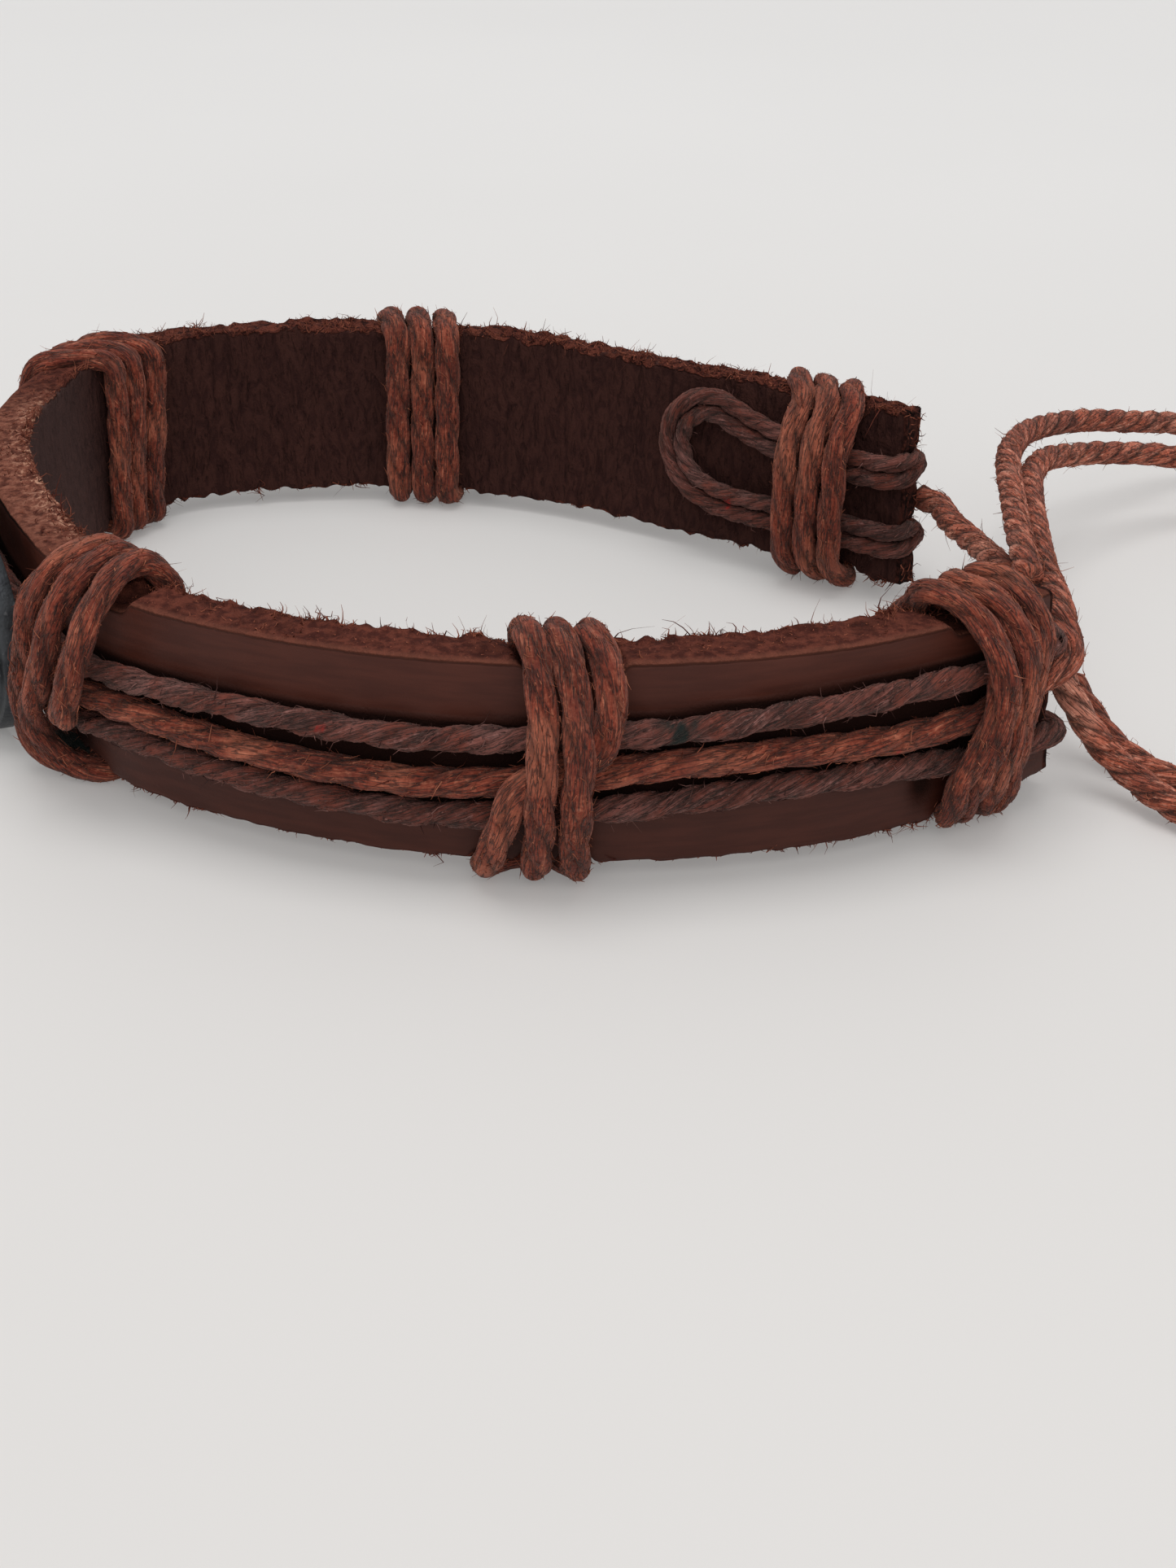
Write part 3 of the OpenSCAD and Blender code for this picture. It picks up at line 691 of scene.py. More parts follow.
# Outer side of the strands that the photograph shows one by one: run, stand-off, height
OUTER_PATHS = {
    "lashing_near_end": (
        ((5.0, -1.4, 14.0), (4.6, 0.6, 14.0), (4.7, 2.6, 13.2), (4.9, 3.6, 12.0), (5.5, 4.1, 10.2),
         (5.8, 4.1, 8.4), (5.7, 3.9, 6.4), (5.3, 3.2, 4.0), (4.7, 2.2, 1.4), (4.4, 1.4, 0.8)),
        ((6.8, -1.4, 14.0), (6.5, 1.4, 13.9), (6.3, 3.0, 13.0), (6.2, 4.1, 11.4), (6.3, 4.4, 9.8),
         (6.5, 4.4, 8.0), (6.6, 4.2, 5.9), (6.2, 3.0, 3.0), (5.5, 2.0, 1.3), (5.2, 1.3, 0.8)),
        ((9.0, -1.0, 14.0), (8.2, 1.0, 13.9), (8.0, 2.8, 13.1), (7.8, 4.2, 11.4), (7.6, 4.6, 9.4),
         (7.8, 4.6, 7.4), (7.8, 3.9, 4.9), (7.4, 2.5, 2.3), (7.0, 1.4, 0.8)),
        ((7.6, -1.0, 13.7), (7.4, 0.8, 13.2), (7.2, 2.3, 12.2), (7.1, 3.2, 11.0), (7.4, 3.8, 8.8),
         (8.3, 4.1, 6.7), (8.8, 3.4, 4.3), (8.4, 2.4, 1.9), (8.0, 1.4, 1.0))),
    "lashing_near_middle": (
        ((27.7, 0.0, 14.0), (27.2, 1.4, 13.9), (26.8, 2.6, 13.2), (26.7, 3.6, 11.9), (26.9, 4.1, 10.2),
         (27.5, 3.9, 8.8), (29.2, 3.5, 7.8), (31.0, 3.9, 6.8), (31.6, 4.0, 5.2), (32.3, 3.3, 2.9),
         (32.9, 2.2, 1.2), (33.0, 1.3, 0.8)),
        ((29.3, 0.0, 14.0), (28.9, 1.4, 14.0), (28.5, 2.7, 13.2), (28.2, 4.0, 11.2), (28.1, 4.5, 9.2),
         (28.2, 4.6, 7.4), (28.3, 4.1, 5.0), (28.4, 3.2, 2.7), (28.4, 2.2, 1.2), (28.4, 1.3, 0.8)),
        ((30.8, 0.0, 14.0), (30.4, 1.4, 14.0), (30.0, 2.7, 12.8), (29.8, 4.0, 10.6), (29.8, 4.5, 8.8),
         (29.9, 4.6, 7.0), (30.0, 4.1, 4.8), (30.2, 3.2, 2.7), (30.4, 2.2, 1.2), (30.5, 1.3, 0.8))),
    "lashing_near_bend": (
        ((54.2, -1.3, 14.0), (53.9, 0.8, 14.0), (53.6, 2.7, 13.0), (53.7, 4.0, 11.2), (54.1, 4.6, 9.0),
         (54.8, 4.6, 7.2), (55.5, 4.2, 6.0), (56.9, 3.0, 5.6), (58.8, 2.5, 5.2), (60.2, 2.4, 4.0),
         (60.9, 2.2, 2.6), (60.9, 1.8, 1.4), (60.4, 1.1, 0.8)),
        ((56.0, -1.3, 14.0), (55.6, 1.2, 14.0), (55.7, 3.1, 12.6), (56.1, 4.1, 10.0), (57.1, 4.4, 7.2),
         (58.4, 4.5, 4.9), (59.1, 4.0, 2.9), (58.6, 3.1, 1.4), (57.6, 2.1, 0.8), (57.0, 1.3, 0.8)),
        ((57.8, -1.0, 14.0), (57.3, 1.3, 14.0), (57.3, 3.0, 13.0), (57.8, 3.9, 11.0), (58.8, 4.1, 8.5),
         (59.9, 4.3, 6.0), (60.5, 4.3, 3.8), (60.1, 4.1, 2.1), (59.0, 3.0, 1.0), (58.2, 1.6, 0.8))),
}


def strand_runs(lashing, k):
    """Runs of a strand at its inner top and foot, and at its outer top, middle and foot"""
    if lashing.strands == len(CROSSED):
        k = CROSSED[k]
    from_middle = k - (lashing.strands - 1) / 2
    inner = lashing.at + from_middle * lashing.inner_step
    outer = lashing.at + from_middle * lashing.outer_step
    return (inner, inner + lashing.inner_foot,
            outer + lashing.top, outer + lashing.middle, outer + lashing.foot)


def inner_side(lashing, top, foot):
    """Stations up the strap's inner side: run, stand-off, height, and the lift outwards and upwards"""
    if lashing.over_loop:
        face = [(foot, OVER - OVER_CORD, LOOP_LOW - OVER - ASIDE, -1, 0),
                (foot + (top - foot) * 0.3, -OVER_CORD, LOOP_LOW - OVER, -1, 0),
                (top, -OVER_CORD, LOOP_HIGH + OVER, -1, 0),
                (top, OVER - OVER_CORD, LOOP_HIGH + OVER + ASIDE, -1, 0)]
    else:
        face = [(foot, -ON_LEATHER, FOOT_Z + WELL_WITHIN, -1, 0),
                (top, -ON_LEATHER, TOP_Z - WELL_WITHIN, -1, 0)]
    return [(foot, -SHOULDER, EDGE_LOW, 0, -1), (foot, -CORNER, FOOT_Z + WITHIN, -1, -1),
            *face, (top, -CORNER, TOP_Z - WITHIN, -1, 1)]


def seen_outer_side(path):
    """The same for the outer side of a strand whose path the photograph shows"""
    return [(run, n, z, np.clip((n - 0.5) / 2, -0.5, 1),
             np.clip((z - 12) / 1.5, 0, 1) - np.clip((2.2 - z) / 1.2, 0, 1)) for run, n, z in path]


def plain_outer_side(inner_top, top, middle, foot):
    """The same for the other strands, over the top, across the lengthwise cords and down"""
    high, low = level(middle, UPPER), level(middle, LOWER)
    return [(inner_top + (top - inner_top) * 0.3, -SHOULDER, EDGE_HIGH, 0, 1),
            (inner_top + (top - inner_top) * 0.8, SHOULDER, EDGE_HIGH, 0, 1),
            (top, CORNER, TOP_Z - WITHIN, 1, 1),
            (top + (middle - top) * 0.2, ON_LEATHER + OVER, TOP_Z - ASIDE, 1, 0),
            (top + (middle - top) * 0.6, OVER_CORD - OVER, high + ASIDE, 1, 0),
            (middle, OVER_CORD, high + OVER, 1, 0),
            (middle + (foot - middle) * 0.3, OVER_CORD, low - OVER, 1, 0),
            (middle + (foot - middle) * 0.7, OVER_CORD - OVER, low - ASIDE, 1, 0),
            (foot, ON_LEATHER, FOOT_Z + WITHIN, 1, -1), (foot, SHOULDER, EDGE_LOW, 0, -1)]


def strand_stations(lashing, k):
    """Stations of a strand once round the strap, and their lifts"""
    inner_top, inner_foot, top, middle, foot = strand_runs(lashing, k)
    rows = inner_side(lashing, inner_top, inner_foot)
    if lashing.node in OUTER_PATHS:
        rows += seen_outer_side(OUTER_PATHS[lashing.node][k])
    else:
        rows += plain_outer_side(inner_top, top, middle, foot)
    s, n, z, out, up = np.array(rows, float).T
    return place(s, n, z), outward(s) * out[:, None] + UP * up[:, None]


# The dark cord: out along the upper level, over the far end, round its inner loop, back along the
# lower level and the same at the near end. LOOP is how far in from the cut end, and the height.
LOOP = np.array((
    (1.8, 9.1), (4.2, 9.1), (7.4, 9.2), (10.3, 9.6), (13, 10.4), (15.4, 11.2), (17.4, 10.6),
    (18.5, 9), (18.4, 7.2), (17.4, 5.6), (15.4, 4.7), (13, 4.4), (10.3, 4.4), (7.4, 4.4),
    (4.2, 4.4), (1.8, 4.4)))
# How deep it bites the cut ends, how far before them its turns begin, and its stations' spacing
END_BITE = 1
TURN_FROM = 1.2
RUN_STEP = 1.5


def end_turn(end, z, way):
    """Stations and lifts where the dark cord turns over a cut end, from the outer face to the inner one"""
    out, n = way * along(end), outward(end)
    s = slanted(end, z) + way * (GAP + CORD_R - END_BITE)
    runs = np.array([s - way * 0.3, s, s, s - way * 0.3])
    stand_off = np.array([ON_LEATHER - 0.15, ON_LEATHER - 1.1, 1.1 - ON_LEATHER, 0.15 - ON_LEATHER])
    return place(runs, stand_off, z), np.array([out + n, out, out, out - n])


def dark_route():
    """Stations and lifts of the dark cord, once round"""
    points, lifts = [], []

    def outer(which, way):
        start = slanted(0.0, level(0, which)) + TURN_FROM
        stop = slanted(BAND_L, level(BAND_L, which)) - TURN_FROM
        runs = np.arange(start, stop, RUN_STEP)[::way]
        points.append(place(runs, ON_LEATHER, level(runs, which)))
        lifts.append(outward(runs))

    def turn(end, which, way, order):
        over, away = end_turn(end, level(end, which), way)
        points.append(over[::order])
        lifts.append(away[::order])

    def loop(end, way, order):
        runs = end - way * (LOOP[:, 0] - 0.6 * np.clip((LOOP[:, 0] - 8) / 8, 0, 1))
        points.append(place(runs, -ON_LEATHER, LOOP[:, 1])[::order])
        lifts.append(-outward(runs)[::order])

    outer(UPPER, 1)
    turn(BAND_L, UPPER, 1, 1)
    loop(BAND_L, 1, 1)
    turn(BAND_L, LOWER, 1, -1)
    outer(LOWER, -1)
    turn(0.0, LOWER, -1, 1)
    loop(0.0, -1, -1)
    turn(0.0, UPPER, -1, -1)
    return np.vstack(points), np.vstack(lifts)


# Strap: the radius of its long edges, how deep its torn edges and its cut ends are ragged, and
# where its far stretch begins, whose edges are torn more
EDGE_ROUND = 0.34
TORN_EDGE = 0.8
TORN_END = 1.2
FAR_STRETCH = 96
# How far along a strand dents the cut edge, and how high and how deep the dark cord bites its ends
DENT_REACH = 0.95
BITE_RISE = 0.85
BITE_DEPTH = 0.95


def strand_dents(s, a, upper):
    """Depth that the strands press into a cut edge, for points at run s and thickness a"""
    depth = 0
    for lashing in LASHINGS:
        for k in range(lashing.strands):
            inner_top, inner_foot, top, _, foot = strand_runs(lashing, k)
            if lashing.node in OUTER_PATHS:
                path = OUTER_PATHS[lashing.node][k]
                top, foot = path[2][0], path[-1][0]
            first, last = (inner_top, top) if upper else (inner_foot, foot)
            centre = first + (last - first) * np.clip((a / HALF_LEATHER + 1) / 2, 0, 1)
            depth = np.maximum(depth, np.clip(1.25 - ((s - centre) / DENT_REACH) ** 2, 0, 1))
    return DENT * depth


def rounded_edges(a, h):
    """Thickness and height of a straight block's points, with its long edges rounded"""
    flat_a, flat_h = HALF_LEATHER - EDGE_ROUND, STRAP_HEIGHT / 2 - EDGE_ROUND
    da, dh = np.abs(a) - flat_a, np.abs(h) - flat_h
    corner = (da > 0) & (dh > 0)
    reach = np.maximum(da, dh) / np.maximum(np.hypot(da, dh), 1e-9)
    return (np.where(corner, np.sign(a) * (flat_a + da * reach), a),
            np.where(corner, np.sign(h) * (flat_h + dh * reach), h))


def torn_edges(straight):
    """Height that torn leather adds at the cut edges, less where the far stretch is worn down"""
    s, a, h = straight.T
    up = np.clip((h - STRAP_HEIGHT / 2 + TORN_EDGE) / TORN_EDGE, 0, 1)
    down = np.clip((-h - STRAP_HEIGHT / 2 + TORN_EDGE) / TORN_EDGE, 0, 1)
    inner = np.clip(0.4 - a / HALF_LEATHER * 0.6, 0, 1)
    far = np.clip((s - FAR_STRETCH) / 12, 0, 1)
    rough = (0.2 + 0.1 * far) * noise(straight * (0.8, 1, 1), 0.5, 3) \
        + (0.15 - 0.09 * far) * noise(straight * (0.5, 1, 1), 1.5, 4) \
        + (0.08 - 0.03 * far) * noise(straight, 5, 5)
    tear = np.abs(noise(straight * (1, 0.5, 0.5), 0.9, 6)) * (0.3 + 0.1 * far)
    ragged_top = rough * (0.12 + 1.1 * inner + 0.7 * far * (1 - inner)) \
        + (0.22 - tear) * np.maximum(inner, 0.6 * far)
    worn = (0.24 + 0.08 * a / HALF_LEATHER) * np.exp(-((s - 139) / 8) ** 2)
    return up * (ragged_top - worn) - down * (rough - tear) * (0.45 + 0.45 * inner)


def cut_back(s, a, z):
    """How far the cut ends go in: ragged, and bitten where the dark cord turns over them"""
    section = np.stack([0 * s, a, z], axis=1)
    ragged = 0.16 * noise(section, 0.7, 11) + 0.2 * noise(section, 2.2, 12)
    bite = sum(np.exp(-((z - level(s, which)) / BITE_RISE) ** 2) for which in (UPPER, LOWER)) * BITE_DEPTH
    near, far = np.clip(1 - s / TORN_END, 0, 1), np.clip(1 - (BAND_L - s) / TORN_END, 0, 1)
    return (near - far) * (bite + ragged)


def shape_strap(p):
    """Takes a straight block's points (run, thickness, height) to the bent, dented and ragged strap"""
    s, a, h = p.T
    a, h = rounded_edges(a, h)
    straight = np.stack([s, a, h], axis=1)
    half = STRAP_HEIGHT / 2
    z = FOOT_Z + half + h + torn_edges(straight)
    z = z - strand_dents(s, a, True) * np.clip(h / half, 0, 1) ** 6
    z = z + strand_dents(s, a, False) * np.clip(-h / half, 0, 1) ** 6
    a = a + 0.04 * noise(straight, 1.4, 7) + 0.08 * noise(straight, 6, 8) * (a < 0)
    return place(slanted(s + cut_back(s, a, z), z), a, z), straight


# Painted shade on the outer face beside the lashings, where it lies in shadow under the strands: run,
# height, and how far it reaches along and up
PAINTED_SHADE_SPOTS = ((59.4, 3.2, 2.2, 2.6), (9.9, 3.9, 0.8, 1.6), (9.6, 8.4, 0.7, 1.2))


def painted_cord_shade(straight):
    """Painted shade from 0 to 1: on the outer face between the cords and beside the lashings, and on the
    edges where the strands press in
    """
    s, a, h = straight.T
    z = FOOT_Z + STRAP_HEIGHT / 2 + h
    # Painted shade between the upper and lower cords, and under the strands where they press into the edges
    shade_between_cords = np.clip((level(s, UPPER) + 0.95 - z) / 0.3, 0, 1) \
        * np.clip((z - level(s, LOWER) + 0.85) / 0.3, 0, 1)
    spots = sum(np.exp(-((s - run) / reach) ** 2 - ((z - height) / rise) ** 2)
                for run, height, reach, rise in PAINTED_SHADE_SPOTS)
    outer = np.maximum(shade_between_cords, np.minimum(spots * 1.2, 1)) * np.clip((a - 0.9) / 0.3, 0, 1)
    shade_under_strands = np.where(h > 0, strand_dents(s, a, True), strand_dents(s, a, False)) / DENT
    return np.maximum(outer, 0.75 * shade_under_strands * np.clip((np.abs(h) - 5.4) / 0.4, 0, 1))


# Cuts of the strap's block along it, through its thickness and up its height, then how much those
# of the last two crowd towards its edges
STRAP_CUTS = ((100, 7), (11,), (35,))
CROWDED_THICK = 0.75
CROWDED_HIGH = 0.8


def crowd_edges(t, amount):
    """Moves even positions from -0.5 to 0.5 towards both ends"""
    return t + amount * np.sin(2 * math.pi * t) / (2 * math.pi)


def build_strap(material):
    """The strap: a cube cut into strips along its length, thickness and height, then shaped"""
    obj = block("strap", (1, 1, 1), STRAP_CUTS)
    x, y, z = read_points(obj.data).T
    p = np.stack([(x + 0.5) * BAND_L, crowd_edges(y, CROWDED_THICK) * 2 * HALF_LEATHER,
                  crowd_edges(z, CROWDED_HIGH) * STRAP_HEIGHT], axis=1)
    bent, straight = shape_strap(p)
    write_points(obj.data, to_frame(bent))
    set_attribute(obj.data, "straight", straight * (1, 1 / HALF_LEATHER, 2 / STRAP_HEIGHT))
    # The painted shade from the cords is kept on the strap's points
    set_attribute(obj.data, "painted_shade", painted_cord_shade(straight))
    select_only(obj)
    bpy.ops.object.mode_set(mode="EDIT")
    bpy.ops.mesh.select_all(action="SELECT")
    bpy.ops.mesh.normals_make_consistent(inside=False)
    bpy.ops.object.mode_set(mode="OBJECT")
    bpy.ops.object.shade_smooth()
    obj.data.materials.clear()
    obj.data.materials.append(material)
    finish_piece(obj, "leather", "leather_band")


# Materials
COLOUR, NUMBER, DIRECTION = "NodeSocketColor", "NodeSocketFloat", "NodeSocketVector"


def fill(tree, sockets, values):
    """Gives sockets their values: links what another node puts out, and sets the rest"""
    for key, value in values.items():
        if isinstance(value, bpy.types.NodeSocket):
            tree.links.new(value, sockets[key])
        else:
            sockets[key].default_value = value


def add(tree, kind, inputs, **settings):
    """A new node's outputs"""
    node = tree.nodes.new(kind)
    for key, value in settings.items():
        setattr(node, key, value)
    fill(tree, node.inputs, inputs)
    return node.outputs


def attribute(tree, name):
    return add(tree, "ShaderNodeAttribute", {}, attribute_name=name)


def object_place(tree):
    return add(tree, "ShaderNodeTexCoord", {})["Object"]


def split(tree, where):
    return add(tree, "ShaderNodeSeparateXYZ", {0: where})


def vector(tree, x, y, z):
    return add(tree, "ShaderNodeCombineXYZ", {0: x, 1: y, 2: z})[0]


def maths(tree, operation, *values, clamp=False):
    return add(tree, "ShaderNodeMath", dict(enumerate(values)), operation=operation, use_clamp=clamp)[0]


def times(tree, a, b):
    return maths(tree, "MULTIPLY", a, b)


def total(tree, first, *others):
    for other in others:
        first = maths(tree, "ADD", first, other)
    return first


def largest(tree, first, *others):
    for other in others:
        first = maths(tree, "MAXIMUM", first, other)
    return first


def ramp(tree, value, low, high, to_low=0.0, to_high=1.0):
    """Goes softly from to_low to to_high while the value goes from low to high"""
    return add(tree, "ShaderNodeMapRange", {
        "Value": value, "From Min": low, "From Max": high, "To Min": to_low, "To Max": to_high},
        interpolation_type="SMOOTHSTEP")["Result"]


def near_to(tree, value, centre, high, low):
    """1 where the value is within low of the centre, and 0 where it is further off than high"""
    return ramp(tree, maths(tree, "ABSOLUTE", maths(tree, "SUBTRACT", value, centre)), high, low)


def stretch_of(tree, run, start, full, fading, end):
    """1 on the strap's stretch from full to fading, and 0 before start and past end"""
    return times(tree, ramp(tree, run, start, full), ramp(tree, run, end, fading))


def blend(tree, factor, a, b, mode="MIX"):
    return add(tree, "ShaderNodeMix", {"Factor": factor, 6: a, 7: b}, data_type="RGBA", blend_type=mode)[2]


def shaded(tree, base, tone):
    return blend(tree, 1.0, base, tone, "MULTIPLY")


def layered(tree, base, *layers):
    """Colours laid over a base one after the other, each given as its mask and its colour"""
    for mask, tone in layers:
        base = blend(tree, mask, base, tone)
    return base


def cloud(tree, where, scale, detail=2.0, roughness=0.5, distortion=0.0):
    return add(tree, "ShaderNodeTexNoise", {
        "Vector": where, "Scale": scale, "Detail": detail, "Roughness": roughness,
        "Distortion": distortion})["Fac"]


def drawn_cloud(tree, where, speeds, *looks):
    """Noise that changes at its own speed along each direction, so that it is drawn out"""
    drawn = add(tree, "ShaderNodeVectorMath", {0: where, 1: speeds}, operation="MULTIPLY")[0]
    return cloud(tree, drawn, 1.0, *looks)


def bumps(tree, height, strength, distance):
    return add(tree, "ShaderNodeBump", {"Strength": strength, "Distance": distance, "Height": height})[0]


def colour(r, g, b):
    """Screen colour out of 255 to the linear values that a shader takes"""
    linear = ((c / 255 / 12.92) if c <= 10 else ((c / 255 + 0.055) / 1.055) ** 2.4 for c in (r, g, b))
    return (*linear, 1.0)


def new_group(name, inputs, outputs):
    """A shader node group with named sockets, each given as kind and default"""
    tree = bpy.data.node_groups.new(name, "ShaderNodeTree")
    for label, kind, default in inputs:
        socket = tree.interface.new_socket(name=label, in_out="INPUT", socket_type=kind)
        socket.default_value = default
    for label, kind in outputs:
        tree.interface.new_socket(name=label, in_out="OUTPUT", socket_type=kind)
    return tree, tree.nodes.new("NodeGroupInput").outputs, tree.nodes.new("NodeGroupOutput").inputs


def cord_group():
    """Colour, roughness and normal of a twisted waxed cord, whose UV map counts plies across and
    millimetres along. Its colour holds painted shade in the grooves and clefts and painted highlights on the
    yarns"""
    tree, given, result = new_group(
        "Waxed cord",
        (("Base", COLOUR, (0.2, 0.07, 0.03, 1)), ("Light", COLOUR, (0.4, 0.2, 0.1, 1)),
         ("Dark", COLOUR, (0.06, 0.02, 0.015, 1)), ("Stain", COLOUR, (0.1, 0.05, 0.05, 1)),
         ("Stain amount", NUMBER, 0.3), ("Groove shade", NUMBER, 0.7), ("Relief", NUMBER, 1.0)),
        (("Colour", COLOUR), ("Roughness", NUMBER), ("Normal", DIRECTION)))
    plies, run, _ = split(tree, add(tree, "ShaderNodeUVMap", {}, uv_map="plies")[0])
    where = object_place(tree)
    tint, spot = attribute(tree, "tint")["Fac"], attribute(tree, "spot")["Fac"]
    across = maths(tree, "FRACT", plies)
    from_crest = maths(tree, "ABSOLUTE", maths(tree, "MULTIPLY_ADD", across, 2.0, -1.0))
    # Yarns run aslant across each ply, and fibres closer to its run
    slant = total(tree, times(tree, across, 5.0), times(tree, run, 1.5))
    on_ply = vector(tree, slant, run, maths(tree, "FLOOR", plies))
    yarn = drawn_cloud(tree, on_ply, (1.5, 0.45, 9.7))
    fibre = drawn_cloud(tree, on_ply, (3.6, 1.5, 3.1), 2.0, 0.65)
    clefts = drawn_cloud(tree, on_ply, (1.25, 0.5, 5.3), 2.0, 0.6)
    # Painted shade along thin clefts between the yarns, and painted highlights along thin lines beside them
    cleft, gleam = near_to(tree, clefts, 0.47, 0.045, 0.005), near_to(tree, clefts, 0.57, 0.03, 0.006)
    felt = cloud(tree, where, 4300.0, 2.0, 0.6)
    speck = cloud(tree, where, 6400.0, 1.0)
    patch = cloud(tree, where, 520.0, 3.0, 0.55)
    glow = cloud(tree, where, 240.0)
    tone = total(tree, times(tree, yarn, 0.5), times(tree, fibre, 0.18), times(tree, felt, 0.32))
    stained = times(tree, ramp(tree, patch, 0.46, 0.66), given["Stain amount"])
    light, dark = given["Light"], given["Dark"]
    base = layered(
        tree, dark,
        (ramp(tree, tone, 0.34, 0.52), given["Base"]),
        (ramp(tree, tone, 0.5, 0.72), light),
        (ramp(tree, glow, 0.5, 0.68, 0, 0.35), light),
        (ramp(tree, glow, 0.48, 0.34, 0, 0.35), dark),
        (ramp(tree, fibre, 0.4, 0.3, 0, 0.2), shaded(tree, dark, (0.3, 0.3, 0.3, 1))),
        (ramp(tree, speck, 0.72, 0.8, 0, 0.5), light),
        # Painted highlights along thin lines on the yarns
        (times(tree, gleam, 0.18), light),
        (largest(tree, stained, times(tree, tint, 0.55)), given["Stain"]),
        # Painted shade in the clefts between the yarns
        (times(tree, cleft, 0.65), shaded(tree, dark, (0.45, 0.4, 0.4, 1))),
        (ramp(tree, spot, 0.25, 0.7), colour(150, 22, 18)),
        # Dark specks, and painted shade on a strand's end in the shadowed hole at the left bend
        (ramp(tree, spot, -0.2, -0.6), colour(22, 30, 28)))
    # Painted shade: each ply's colour darkens towards the grooves between the plies
    painted_groove_shade = times(tree, maths(tree, "POWER", from_crest, 3.5), given["Groove shade"])
    shade = maths(tree, "SUBTRACT", 1.0, painted_groove_shade)
    relief = total(tree, times(tree, yarn, 0.45), times(tree, fibre, 0.35), times(tree, felt, 0.2),
                   times(tree, cleft, -0.3))
    fill(tree, result, {"Colour": shaded(tree, base, vector(tree, shade, shade, shade)),
                        "Roughness": ramp(tree, fibre, 0.3, 0.7, 0.6, 0.85),
                        "Normal": bumps(tree, relief, given["Relief"], 0.00035)})
    return tree


def hair_group():
    """Colour of loose fibres, each with its own tint from 0 to 1"""
    tree, given, result = new_group(
        "Loose fibres", (("Dark", COLOUR, (0.05, 0.02, 0.015, 1)), ("Light", COLOUR, (0.2, 0.1, 0.07, 1))),
        (("Colour", COLOUR),))
    tint = attribute(tree, "tint")["Fac"]
    mottle = maths(tree, "SUBTRACT", cloud(tree, object_place(tree), 1800.0), 0.5)
    mix = maths(tree, "ADD", times(tree, tint, 0.7), times(tree, mottle, 0.8), clamp=True)
    fill(tree, result, {"Colour": blend(tree, mix, given["Dark"], given["Light"])})
    return tree


def new_material(name):
    material = bpy.data.materials.new(name)
    material.use_nodes = True
    tree = material.node_tree
    return material, tree, tree.nodes["Principled BSDF"].inputs


def cord_material(name, base, light, dark, stain, stained, groove_shading):
    """A waxed cord's material, made the first time that it is asked for"""
    if name in bpy.data.materials:
        return bpy.data.materials[name]
    material, tree, shader = new_material(name)
    group = bpy.data.node_groups.get("Waxed cord") or cord_group()
    look = add(tree, "ShaderNodeGroup", {
        "Base": base, "Light": light, "Dark": dark, "Stain": stain, "Stain amount": stained,
        "Groove shade": groove_shading}, node_tree=group)
    fill(tree, shader, {
        "Base Color": look["Colour"], "Roughness": look["Roughness"], "Normal": look["Normal"],
        "Specular IOR Level": 0.14, "Sheen Weight": 0.1, "Sheen Roughness": 0.5,
        "Sheen Tint": (1, 0.8, 0.7, 1)})
    return material


def rust_cord():
    """The cord of the lashings and along the strap's middle"""
    return cord_material("Rust cord", settings("cords").rust, colour(186, 114, 88), colour(50, 19, 15),
                         colour(78, 34, 30), 0.45, 0.55)


def plum_cord():
    """The doubled dark cord"""
    return cord_material("Plum cord", settings("cords").plum, colour(150, 104, 97), colour(34, 17, 16),
                         colour(116, 56, 43), 0.75, 0.5)


def tie_cord():
    """The ties, a paler rust"""
    return cord_material("Tie cord", colour(168, 86, 63), colour(234, 170, 146), colour(62, 23, 16),
                         colour(104, 50, 42), 0.45, 0.8)


def hair_material(name, dark, light):
    """Loose fibres between two colours"""
    material, tree, shader = new_material(name)
    group = bpy.data.node_groups.get("Loose fibres") or hair_group()
    look = add(tree, "ShaderNodeGroup", {"Dark": dark, "Light": light}, node_tree=group)
    fill(tree, shader, {"Base Color": look["Colour"], "Roughness": 0.8, "Specular IOR Level": 0.12})
    return material


